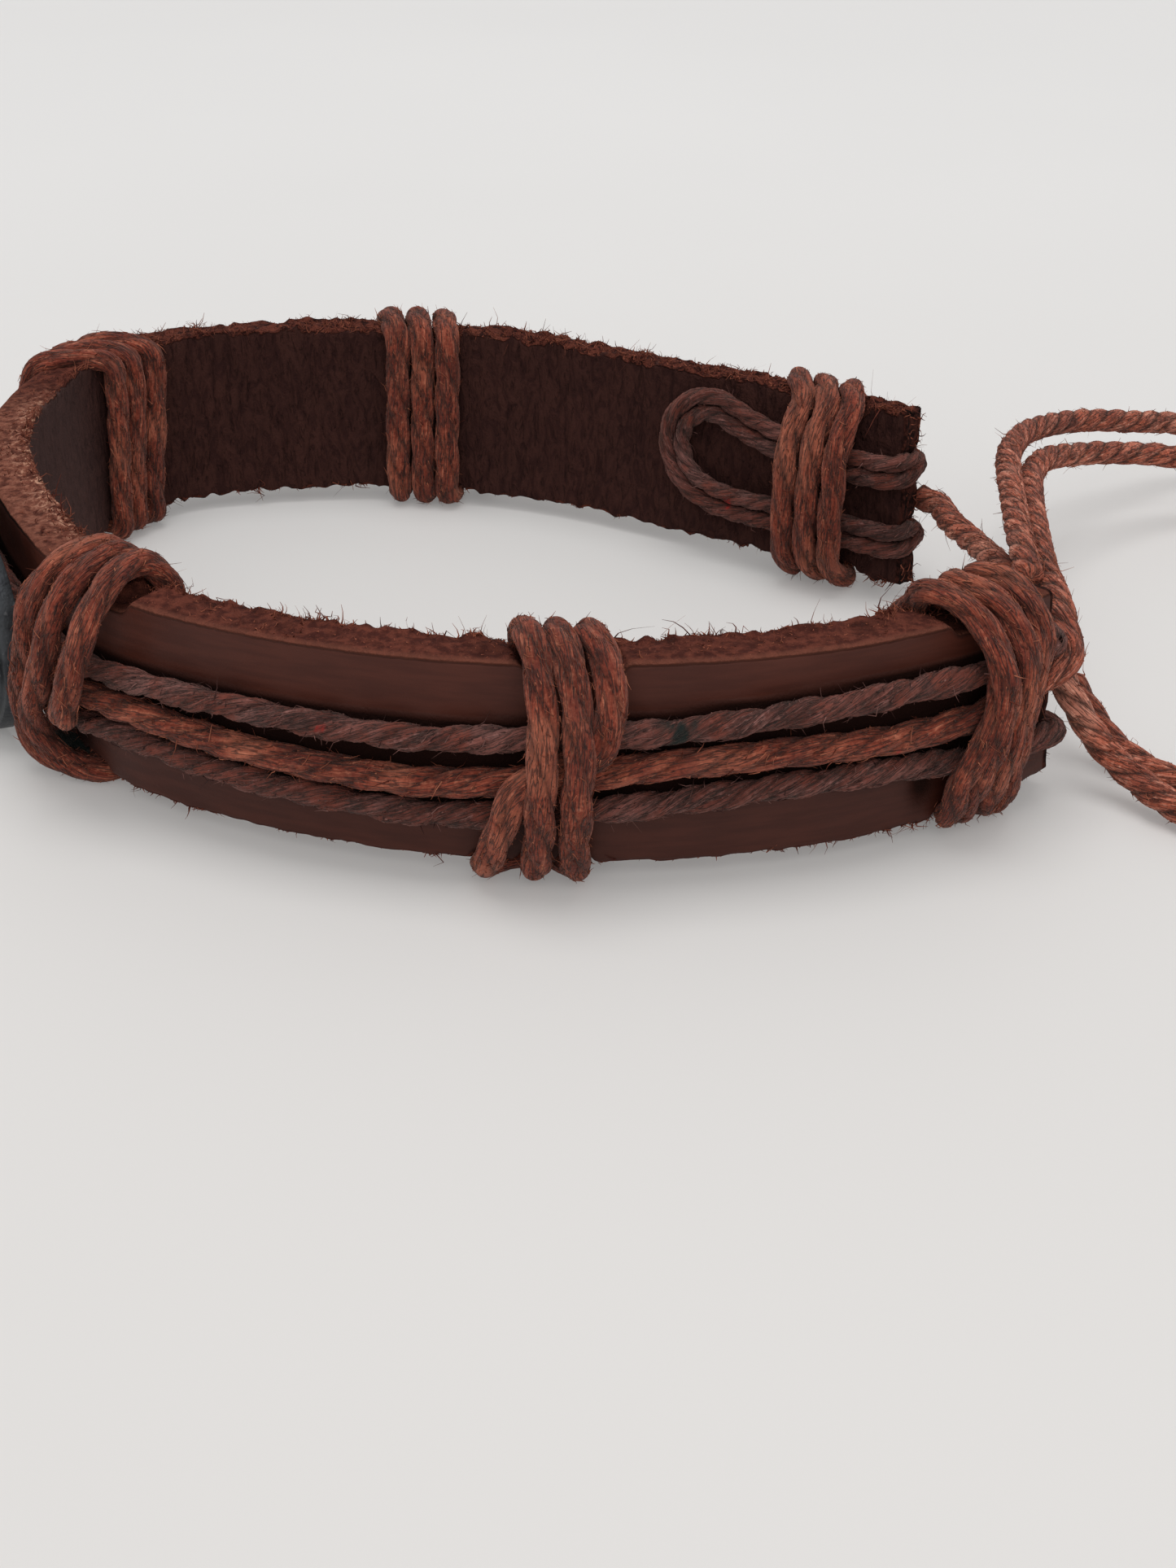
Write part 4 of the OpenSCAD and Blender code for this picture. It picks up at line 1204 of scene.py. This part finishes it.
def leather_material():
    """Brown leather: a smooth outer face, a fleshy inner one, torn edges and dark cut ends"""
    material, tree, shader = new_material("Brown leather")
    # straight holds the run along the strap, then the places across its thickness and its height,
    # each from -1 to 1: a is 1 on the outer face, and h is 1 on the upper edge
    straight, painted_shade = attribute(tree, "straight")["Vector"], attribute(tree, "painted_shade")["Fac"]
    run, a, h = split(tree, straight)
    where = object_place(tree)
    speckle = cloud(tree, where, 4200.0, 3.0, 0.7)
    lumps = cloud(tree, where, 1700.0, 3.0, 0.65)
    clots = cloud(tree, where, 620.0, 3.0, 0.6, 0.4)
    broad = cloud(tree, where, 160.0)
    streak = drawn_cloud(tree, straight, (0.25, 2.0, 12.0), 3.0)
    wrinkle = drawn_cloud(tree, straight, (1.25, 1.0, 2.9), 4.0, 0.62, 1.5)
    crease = drawn_cloud(tree, straight, (2.6, 1.0, 4.4), 3.0, 0.6, 1.1)

    # Masks: torn edges, the inner face, a painted highlight along the upper edge's outer rim, and the cut
    # ends
    torn = total(tree, times(tree, lumps, 0.6), clots, -0.8)
    torn = times(tree, torn, ramp(tree, a, 0.4, -0.4, 0.015, 0.13))
    raw = ramp(tree, total(tree, maths(tree, "ABSOLUTE", h), torn), 0.955, 0.985)
    flesh = ramp(tree, a, -0.84, -0.95)
    rim_highlight = times(tree, ramp(tree, a, 0.6, 0.96), ramp(tree, h, 0.95, 0.985))
    rim_highlight = times(tree, rim_highlight, ramp(tree, run, 112.0, 88.0, 0, 0.6))
    ends = largest(tree, ramp(tree, run, 0.45, 0.2), ramp(tree, run, BAND_L - 0.45, BAND_L - 0.2))
    rough = largest(tree, raw, flesh, ends, painted_shade)

    brown = tuple(settings("strap").brown)
    grain = blend(tree, ramp(tree, streak, 0.35, 0.65), shaded(tree, brown, (0.78, 0.76, 0.76, 1)), brown)
    grain = blend(tree, ramp(tree, h, -0.2, 1.0), shaded(tree, grain, (0.86, 0.86, 0.86, 1)), grain)
    # Painted shade: the outer face goes nearly black between the cords and beside and under the strands
    grain = blend(tree, times(tree, painted_shade, 0.86), grain, colour(20, 11, 9))
    inner_face = layered(
        tree, colour(45, 26, 24),
        (ramp(tree, wrinkle, 0.36, 0.6), colour(58, 35, 31)),
        (ramp(tree, crease, 0.42, 0.32, 0, 0.3), colour(28, 16, 15)),
        (ramp(tree, speckle, 0.7, 0.8, 0, 0.5), colour(86, 50, 42)),
        # Painted sheen where light glances off the inner face at the left bend
        (times(tree, stretch_of(tree, run, 62.0, 74.0, 90.0, 98.0), 0.5), colour(84, 66, 64)))

    # The left bend's cut edge has crumbled paler, and the far stretch is darker
    crumbled = stretch_of(tree, run, 58.0, 66.0, 84.0, 92.0)
    crumbs = ramp(tree, times(tree, speckle, lumps), 0.25, 0.36, 0, 0.85)
    crumbs = times(tree, crumbs, ramp(tree, a, 0.3, -0.8, 0.12, 1.0))
    holes = ramp(tree, total(tree, lumps, speckle), 1.02, 0.86, 0, 0.85)
    holes = times(tree, holes, ramp(tree, run, 88.0, 112.0))
    torn_edge = layered(
        tree, colour(62, 31, 26),
        (ramp(tree, lumps, 0.36, 0.64), colour(92, 49, 39)),
        (ramp(tree, clots, 0.5, 0.36, 0, 0.45), colour(44, 21, 17)),
        (ramp(tree, speckle, 0.62, 0.78, 0, 0.55), colour(132, 84, 68)),
        # Painted shade where the strands press into the torn edges
        (times(tree, painted_shade, 0.8), colour(34, 17, 13)),
        (times(tree, crumbled, ramp(tree, lumps, 0.36, 0.6, 0.2, 0.85)), colour(122, 76, 62)),
        (times(tree, crumbled, crumbs), colour(182, 140, 118)),
        (holes, colour(30, 14, 12)))
    cut_end = blend(tree, ramp(tree, lumps, 0.4, 0.62), colour(26, 13, 11), colour(64, 34, 28))
    # The pale colour along the upper outer rim is a painted highlight
    tone = layered(tree, grain, (flesh, inner_face), (raw, torn_edge), (rim_highlight, colour(104, 63, 51)),
                   (ends, cut_end))
    tone = blend(tree, ramp(tree, broad, 0.3, 0.7), tone, shaded(tree, tone, (1.14, 1.12, 1.1, 1)))

    coarse = total(tree, lumps, times(tree, clots, 0.8))
    hollows = total(tree, times(tree, wrinkle, 1.3), ramp(tree, crease, 0.34, 0.42, 0.0, 0.35))
    relief = total(tree, times(tree, coarse, raw), times(tree, hollows, flesh),
                   times(tree, speckle, ramp(tree, rough, 0, 1, 0.05, 0.5)))
    fill(tree, shader, {"Base Color": tone, "Roughness": ramp(tree, rough, 0, 1, 0.5, 0.95),
                        "Specular IOR Level": ramp(tree, rough, 0, 1, 0.2, 0.06),
                        "Normal": bumps(tree, relief, 0.9, 0.0003)})
    return material


def metal_material():
    """Dark worn metal of the plate"""
    material, tree, shader = new_material("Dark metal")
    where = object_place(tree)
    worn = cloud(tree, where, 420.0, 4.0, 0.6)
    fine = cloud(tree, where, 2600.0, 2.0, 0.6)
    metal = tuple(settings("medallion").metal)
    tone = layered(tree, shaded(tree, metal, (0.5, 0.5, 0.52, 1)), (ramp(tree, worn, 0.4, 0.62), metal),
                   (ramp(tree, fine, 0.62, 0.74, 0, 0.5), colour(128, 130, 132)))
    relief = total(tree, worn, times(tree, fine, 0.3))
    fill(tree, shader, {"Base Color": tone, "Roughness": ramp(tree, worn, 0.3, 0.7, 0.32, 0.58),
                        "Metallic": 0.85, "Normal": bumps(tree, relief, 0.5, 0.0002)})
    return material


def stone_material():
    """Polished green stone with darker clouds and fine veins"""
    material, tree, shader = new_material("Green stone")
    where = object_place(tree)
    clouds = cloud(tree, where, 190.0, 4.0, 0.6, 1.2)
    veins = cloud(tree, where, 330.0, 3.0, 0.6, 2.2)
    grains = cloud(tree, where, 2400.0)
    green = tuple(settings("medallion").stone)
    tone = layered(tree, shaded(tree, green, (0.34, 0.42, 0.4, 1)), (ramp(tree, clouds, 0.34, 0.64), green),
                   (near_to(tree, veins, 0.5, 0.014, 0.004), colour(206, 204, 168)),
                   (ramp(tree, grains, 0.6, 0.72, 0, 0.4), colour(88, 98, 66)))
    fill(tree, shader, {"Base Color": tone, "Roughness": ramp(tree, grains, 0.3, 0.7, 0.14, 0.26),
                        "Coat Weight": 0.4, "Coat Roughness": 0.08})
    return material


def floor_material():
    """The pale surface, with painted light: lighter further back, and a faint glow of its own that lifts the
    shadows on it
    """
    material, tree, shader = new_material("Pale board")
    where = object_place(tree)
    painted_back_light = ramp(tree, split(tree, where)[1], -0.08, 0.2)
    tone = layered(tree, (0.48, 0.468, 0.457, 1), (painted_back_light, (0.55, 0.546, 0.542, 1)),
                   (ramp(tree, cloud(tree, where, 9.0, 3.0), 0.3, 0.7, 0, 0.04), (0.9, 0.89, 0.88, 1)))
    # The faint glow is painted light that lifts the shadows on the surface
    fill(tree, shader, {"Base Color": tone, "Roughness": 0.55, "Emission Color": (1, 0.985, 0.97, 1),
                        "Emission Strength": 0.17})
    return material


class StageSettings(bpy.types.PropertyGroup):
    lens: bpy.props.FloatProperty(
        name="Lens", description="Focal length of the camera, on a 36 mm long side", default=50.44, min=20,
        max=200)
    height: bpy.props.FloatProperty(
        name="Camera height", description="Height of the camera above the surface", default=0.0605,
        unit="LENGTH")
    light: bpy.props.FloatProperty(
        name="Light", description="Strength of the light from all round", default=0.57, min=0)


class CordSettings(bpy.types.PropertyGroup):
    diameter: bpy.props.FloatProperty(
        name="Cord diameter", description="Diameter of the waxed cord", default=0.0016, unit="LENGTH")
    rust: bpy.props.FloatVectorProperty(
        name="Rust", description="Main colour of the rust cord", subtype="COLOR", size=4,
        default=colour(124, 54, 38), min=0, max=1)
    plum: bpy.props.FloatVectorProperty(
        name="Plum", description="Main colour of the dark cord", subtype="COLOR", size=4,
        default=colour(84, 47, 41), min=0, max=1)
    fuzz: bpy.props.FloatProperty(
        name="Fuzz", description="Loose hairs on each square millimetre of cord", default=2.8, min=0)


class StrapSettings(bpy.types.PropertyGroup):
    brown: bpy.props.FloatVectorProperty(
        name="Brown", description="Colour of the leather's smooth outer face", subtype="COLOR", size=4,
        default=colour(70, 34, 25), min=0, max=1)


class MedallionSettings(bpy.types.PropertyGroup):
    length: bpy.props.FloatProperty(
        name="Length", description="Length of the plate along the band", default=0.028, unit="LENGTH")
    height: bpy.props.FloatProperty(
        name="Height", description="Height of the plate", default=0.0146, unit="LENGTH")
    metal: bpy.props.FloatVectorProperty(
        name="Metal", description="Colour of the plate", subtype="COLOR", size=4,
        default=colour(74, 77, 80), min=0, max=1)
    stone: bpy.props.FloatVectorProperty(
        name="Stone", description="Main colour of the stone", subtype="COLOR", size=4,
        default=colour(140, 148, 98), min=0, max=1)


def settings(kind):
    return getattr(bpy.context.scene, "bracelet_" + kind)


# Stage, in metres: the camera's place, its tilt and the nearest that it sees, the surface, and each
# lamp's name, place and power
CAMERA_X = 0.00909
CAMERA_Y = -0.12925
CAMERA_TILT = math.radians(61.4)
NEAREST = 0.01
SURFACE = (3, 3, 0.002)
LAMP_SIZE = 0.9
LAMPS = (("light_above", (0.0, 0.0, 1.2), 6.7), ("light_front", (0.06, -0.66, 0.46), 2.5))
WARM_WHITE = (1, 0.99, 0.98, 1)


class BRACELET_OT_stage(bpy.types.Operator):
    """Adds the camera, the pale surface and the soft light"""
    bl_idname = "bracelet.stage"
    bl_label = "Stage"

    def execute(self, context):
        chosen = settings("stage")
        camera = bpy.data.objects.new("camera", bpy.data.cameras.new("camera"))
        context.scene.collection.objects.link(camera)
        camera.location = (CAMERA_X, CAMERA_Y, chosen.height)
        camera.rotation_euler = (CAMERA_TILT, 0, 0)
        camera.data.lens = chosen.lens
        camera.data.clip_start = NEAREST
        context.scene.camera = camera
        floor = block("surface", SURFACE, ((1,), (1,), (1,)))
        write_points(floor.data, read_points(floor.data) - (0, 0, SURFACE[2] / 2))
        floor.data.materials.append(floor_material())
        for name, spot, power in LAMPS:
            lamp = bpy.data.objects.new(name, bpy.data.lights.new(name, "AREA"))
            context.scene.collection.objects.link(lamp)
            lamp.data.shape = "DISK"
            lamp.data.size = LAMP_SIZE
            lamp.data.energy = power
            lamp.location = spot
            lamp.rotation_euler = (-Vector(spot)).to_track_quat("-Z", "Y").to_euler()
        world = bpy.data.worlds.new("soft studio")
        context.scene.world = world
        world.use_nodes = True
        background = world.node_tree.nodes["Background"].inputs
        fill(world.node_tree, background, {"Color": WARM_WHITE, "Strength": chosen.light})
        context.scene.view_settings.view_transform = "Standard"
        return {"FINISHED"}


class BRACELET_OT_tie_cords(bpy.types.Operator):
    """Adds the two ties that leave the cut ends"""
    bl_idname = "bracelet.tie_cords"
    bl_label = "Tie cords"

    def execute(self, context):
        radius = settings("cords").diameter / MM / 2
        for name, node, route, seed in (("tie_near", "tie_cord_near", near_route(), 21),
                                        ("tie_far", "tie_cord_far", far_route(), 22)):
            lifts = np.tile([-0.55, -0.2, 0.8], (len(route), 1))
            points, lifts = smooth_route(route, lifts, spacing=0.25, ease=0.3)
            obj = twisted_cord(name, tie_cord(), points, lifts, radius=radius * 1.06, lead=6, tuck=0.27,
                               seed=seed, swell=0.03, wander=0.03, taper=(0, 0.5))
            finish_piece(obj, "rust_cord", node)
        return {"FINISHED"}


class BRACELET_OT_strap(bpy.types.Operator):
    """Adds the leather strap and the fibres on its cut edges"""
    bl_idname = "bracelet.strap"
    bl_label = "Strap"

    def execute(self, context):
        build_strap(leather_material())
        leather_fibres(hair_material("Leather fibres", colour(74, 31, 24), colour(156, 92, 70)))
        return {"FINISHED"}


class BRACELET_OT_lashings(bpy.types.Operator):
    """Winds the six lashings round the strap"""
    bl_idname = "bracelet.lashings"
    bl_label = "Lashings"

    def execute(self, context):
        for seed, lashing in enumerate(LASHINGS, 1):
            strands = [strand_stations(lashing, k) for k in range(lashing.strands)]
            points, lifts = smooth_route(*(np.vstack(rows) for rows in zip(*strands)), spacing=0.28)
            obj = twisted_cord(lashing.node.replace("lashing", "wound"), rust_cord(), points, lifts,
                               radius=lashing.radius, lead=10, tuck=0.3, seed=seed, wide=1.03, thin=0.92,
                               taper=(0.5, 0.5))
            finish_piece(obj, "rust_cord", lashing.node)
        return {"FINISHED"}


# The two strands of the doubled dark cord: name, seed and how stained it is
DARK_STRANDS = (("dark_run", 31, 0.0), ("dark_run_second", 32, 0.6))


class BRACELET_OT_lengthwise_cords(bpy.types.Operator):
    """Lays the doubled dark cord and the middle cord along the strap"""
    bl_idname = "bracelet.lengthwise_cords"
    bl_label = "Lengthwise cords"

    def execute(self, context):
        points, lifts = smooth_route(*dark_route(), spacing=0.36, closed=True)
        pair = paired_routes(points, lifts, lead=8.4, twisted_apart=0.19, flat_apart=0.62)
        strands = [twisted_cord(name, plum_cord(), route, lifts, radius=0.62, lead=5.0, tuck=0.34, seed=seed,
                                closed=True, swell=0.08, wander=0.05, tint=tint)
                   for route, (name, seed, tint) in zip(pair, DARK_STRANDS)]
        select_only(*strands)
        bpy.ops.object.join()
        finish_piece(strands[0], "plum_cord", "dark_cord")
        runs = np.arange(MIDDLE_FROM, MIDDLE_TO, RUN_STEP)
        middle = place(runs, ON_LEATHER, level(runs, MIDDLE_CORD))
        points, lifts = smooth_route(middle, outward(runs), spacing=0.25)
        obj = twisted_cord("middle_run", rust_cord(), points, lifts, radius=0.84, lead=7.8, tuck=0.28,
                           seed=41, taper=(0.5, 0))
        finish_piece(obj, "rust_cord", "middle_cord")
        return {"FINISHED"}


class BRACELET_OT_cord_fuzz(bpy.types.Operator):
    """Adds the loose hairs on the cords"""
    bl_idname = "bracelet.cord_fuzz"
    bl_label = "Cord fuzz"

    def execute(self, context):
        objects = bpy.data.objects
        amount = settings("cords").fuzz
        rust = hair_material("Rust hairs", colour(84, 36, 26), colour(180, 112, 86))
        plum = hair_material("Plum hairs", colour(46, 26, 25), colour(146, 104, 96))
        lashings = [obj for obj in objects if obj.name.startswith("wound_")]
        ties = [objects["tie_near"], objects["tie_far"]]
        cord_fuzz("fuzz_lashings", lashings, rust, "rust_cord", 51, amount)
        cord_fuzz("fuzz_runs", [objects["middle_run"]], rust, "rust_cord", 52, amount)
        cord_fuzz("fuzz_dark", [objects["dark_run"]], plum, "plum_cord", 53, amount * 0.75)
        cord_fuzz("fuzz_ties", ties, rust, "rust_cord", 54, amount * 0.8)
        return {"FINISHED"}


# Medallion: where along the strap it sits, how far from its middle line, the radius of its bend,
# and its sizes, as in the part's source. Edges sharper than EASED_OVER are eased, and edges flatter
# than SMOOTH_UNDER are shaded smooth.
PLATE_AT = 75
PLATE_OFF = OVER_CORD - CORD_R + GAP + 1
PLATE_BEND = 48
PLATE_FOOT = 0.1
PLATE_T = 1.2
CORNER_SHARE = 0.42
CORNER_STEPS = 12
RIM_MARGIN = 0.6
RIM_W = 0.9
RIM_H = 0.8
RIM_EASE = 0.16
EASED_OVER = math.radians(50)
SMOOTH_UNDER = math.radians(32)
STONE_SIDE = 1.1
# Insets and rises that round the stone's top, and the widest strip that the bend is drawn with
STONE_DOME = ((0.25, 0.36), (0.5, 0.38), (0.8, 0.28), (1.1, 0.17), (1.4, 0.08))
STRIP = 0.7


def rounded_block(name, low, high, length, height):
    """A straight block across the medallion's thickness, with rounded corners, its outer face selected"""
    obj = block(name, (high - low, length, height))
    write_points(obj.data, read_points(obj.data) + ((low + high) / 2, 0, 0))
    bpy.ops.object.mode_set(mode="EDIT")
    select_along(obj, 0)
    bpy.ops.mesh.bevel(offset=height * CORNER_SHARE, segments=CORNER_STEPS, affect="EDGES")
    bpy.context.tool_settings.mesh_select_mode = (False, False, True)
    bpy.ops.mesh.select_all(action="DESELECT")
    mesh = bmesh.from_edit_mesh(obj.data)
    for face in mesh.faces:
        face.select = face.normal.x > 0.9
    bmesh.update_edit_mesh(obj.data)
    return obj


def bend_medallion(obj, length, material, slot, node):
    """Cuts the straight piece into strips, then bends it to the band's left side and finishes it"""
    bpy.ops.mesh.select_all(action="SELECT")
    for y in np.arange(STRIP - length / 2, length / 2 - 0.3, STRIP):
        bpy.ops.mesh.bisect(plane_co=(0, y, 0), plane_no=(0, 1, 0))
        bpy.ops.mesh.select_all(action="SELECT")
    bpy.ops.mesh.normals_make_consistent(inside=False)
    bpy.ops.object.mode_set(mode="OBJECT")
    r, y, z = read_points(obj.data).T
    heading = on_strap(PLATE_AT)[2] + math.pi / 2
    foot = place(PLATE_AT, PLATE_OFF, FOOT_Z)
    x = np.sqrt((PLATE_BEND + r) ** 2 - y**2) - PLATE_BEND
    bent = np.stack([foot[0] + x * math.cos(heading) - y * math.sin(heading),
                     foot[1] + x * math.sin(heading) + y * math.cos(heading),
                     z + settings("medallion").height / MM / 2 + PLATE_FOOT], axis=1)
    write_points(obj.data, to_frame(bent))
    obj.data.materials.clear()
    obj.data.materials.append(material)
    bpy.ops.object.shade_smooth_by_angle(angle=SMOOTH_UNDER)
    finish_piece(obj, slot, node)


def raise_rim(plate):
    """Raises a rim round the plate's selected outer face, and eases its sharp edges"""
    bpy.ops.mesh.inset(thickness=RIM_MARGIN)
    bpy.ops.mesh.inset(thickness=RIM_W)
    mesh = bmesh.from_edit_mesh(plate.data)
    middle = next(face for face in mesh.faces if face.select)
    ring = [face for edge in middle.edges for face in edge.link_faces if face is not middle]
    bpy.ops.mesh.select_all(action="DESELECT")
    for face in ring:
        face.select = True
    bmesh.update_edit_mesh(plate.data)
    bpy.ops.mesh.extrude_region_move(TRANSFORM_OT_translate={"value": (RIM_H, 0, 0)})
    bpy.ops.object.mode_set(mode="OBJECT")
    bevel = plate.modifiers.new("eased", "BEVEL")
    bevel.width = RIM_EASE
    bevel.segments = 2
    bevel.limit_method = "ANGLE"
    bevel.angle_limit = EASED_OVER
    select_only(plate)
    bpy.ops.object.modifier_apply(modifier="eased")
    bpy.ops.object.mode_set(mode="EDIT")


class BRACELET_OT_medallion(bpy.types.Operator):
    """Adds the bent metal plate with its raised rim, and the stone in it"""
    bl_idname = "bracelet.medallion"
    bl_label = "Medallion"

    def execute(self, context):
        length, height = settings("medallion").length / MM, settings("medallion").height / MM
        plate = rounded_block("plate", 0, PLATE_T, length, height)
        raise_rim(plate)
        bend_medallion(plate, length, metal_material(), "dark_metal", "medallion_plate")
        inset = 2 * (RIM_MARGIN + RIM_W + GAP)
        stone = rounded_block("stone", PLATE_T + GAP, PLATE_T + STONE_SIDE, length - inset, height - inset)
        for thickness, rise in STONE_DOME:
            bpy.ops.mesh.inset(thickness=thickness, depth=rise)
        bend_medallion(stone, length - inset, stone_material(), "green_stone", "medallion_stone")
        return {"FINISHED"}


class BRACELET_PT_panel(bpy.types.Panel):
    """Lists the bracelet's pieces in the sidebar"""
    bl_idname = "BRACELET_PT_panel"
    bl_label = "Bracelet"
    bl_space_type = "VIEW_3D"
    bl_region_type = "UI"
    bl_category = "Bracelet"

    def draw(self, context):
        for operator in OPERATORS:
            self.layout.operator(operator.bl_idname)


OPERATORS = (BRACELET_OT_stage, BRACELET_OT_tie_cords, BRACELET_OT_strap, BRACELET_OT_lashings,
             BRACELET_OT_lengthwise_cords, BRACELET_OT_medallion, BRACELET_OT_cord_fuzz)
GROUPS = (("stage", StageSettings), ("cords", CordSettings), ("strap", StrapSettings),
          ("medallion", MedallionSettings))


def register():
    for name, group in GROUPS:
        bpy.utils.register_class(group)
        setattr(bpy.types.Scene, "bracelet_" + name, bpy.props.PointerProperty(type=group))
    for cls in (*OPERATORS, BRACELET_PT_panel):
        bpy.utils.register_class(cls)


def unregister():
    for cls in (BRACELET_PT_panel, *reversed(OPERATORS)):
        bpy.utils.unregister_class(cls)
    for name, group in reversed(GROUPS):
        delattr(bpy.types.Scene, "bracelet_" + name)
        bpy.utils.unregister_class(group)


def main():
    register()
    for operator in OPERATORS:
        group, name = operator.bl_idname.split(".")
        getattr(getattr(bpy.ops, group), name)()


if __name__ == "__main__":
    main()
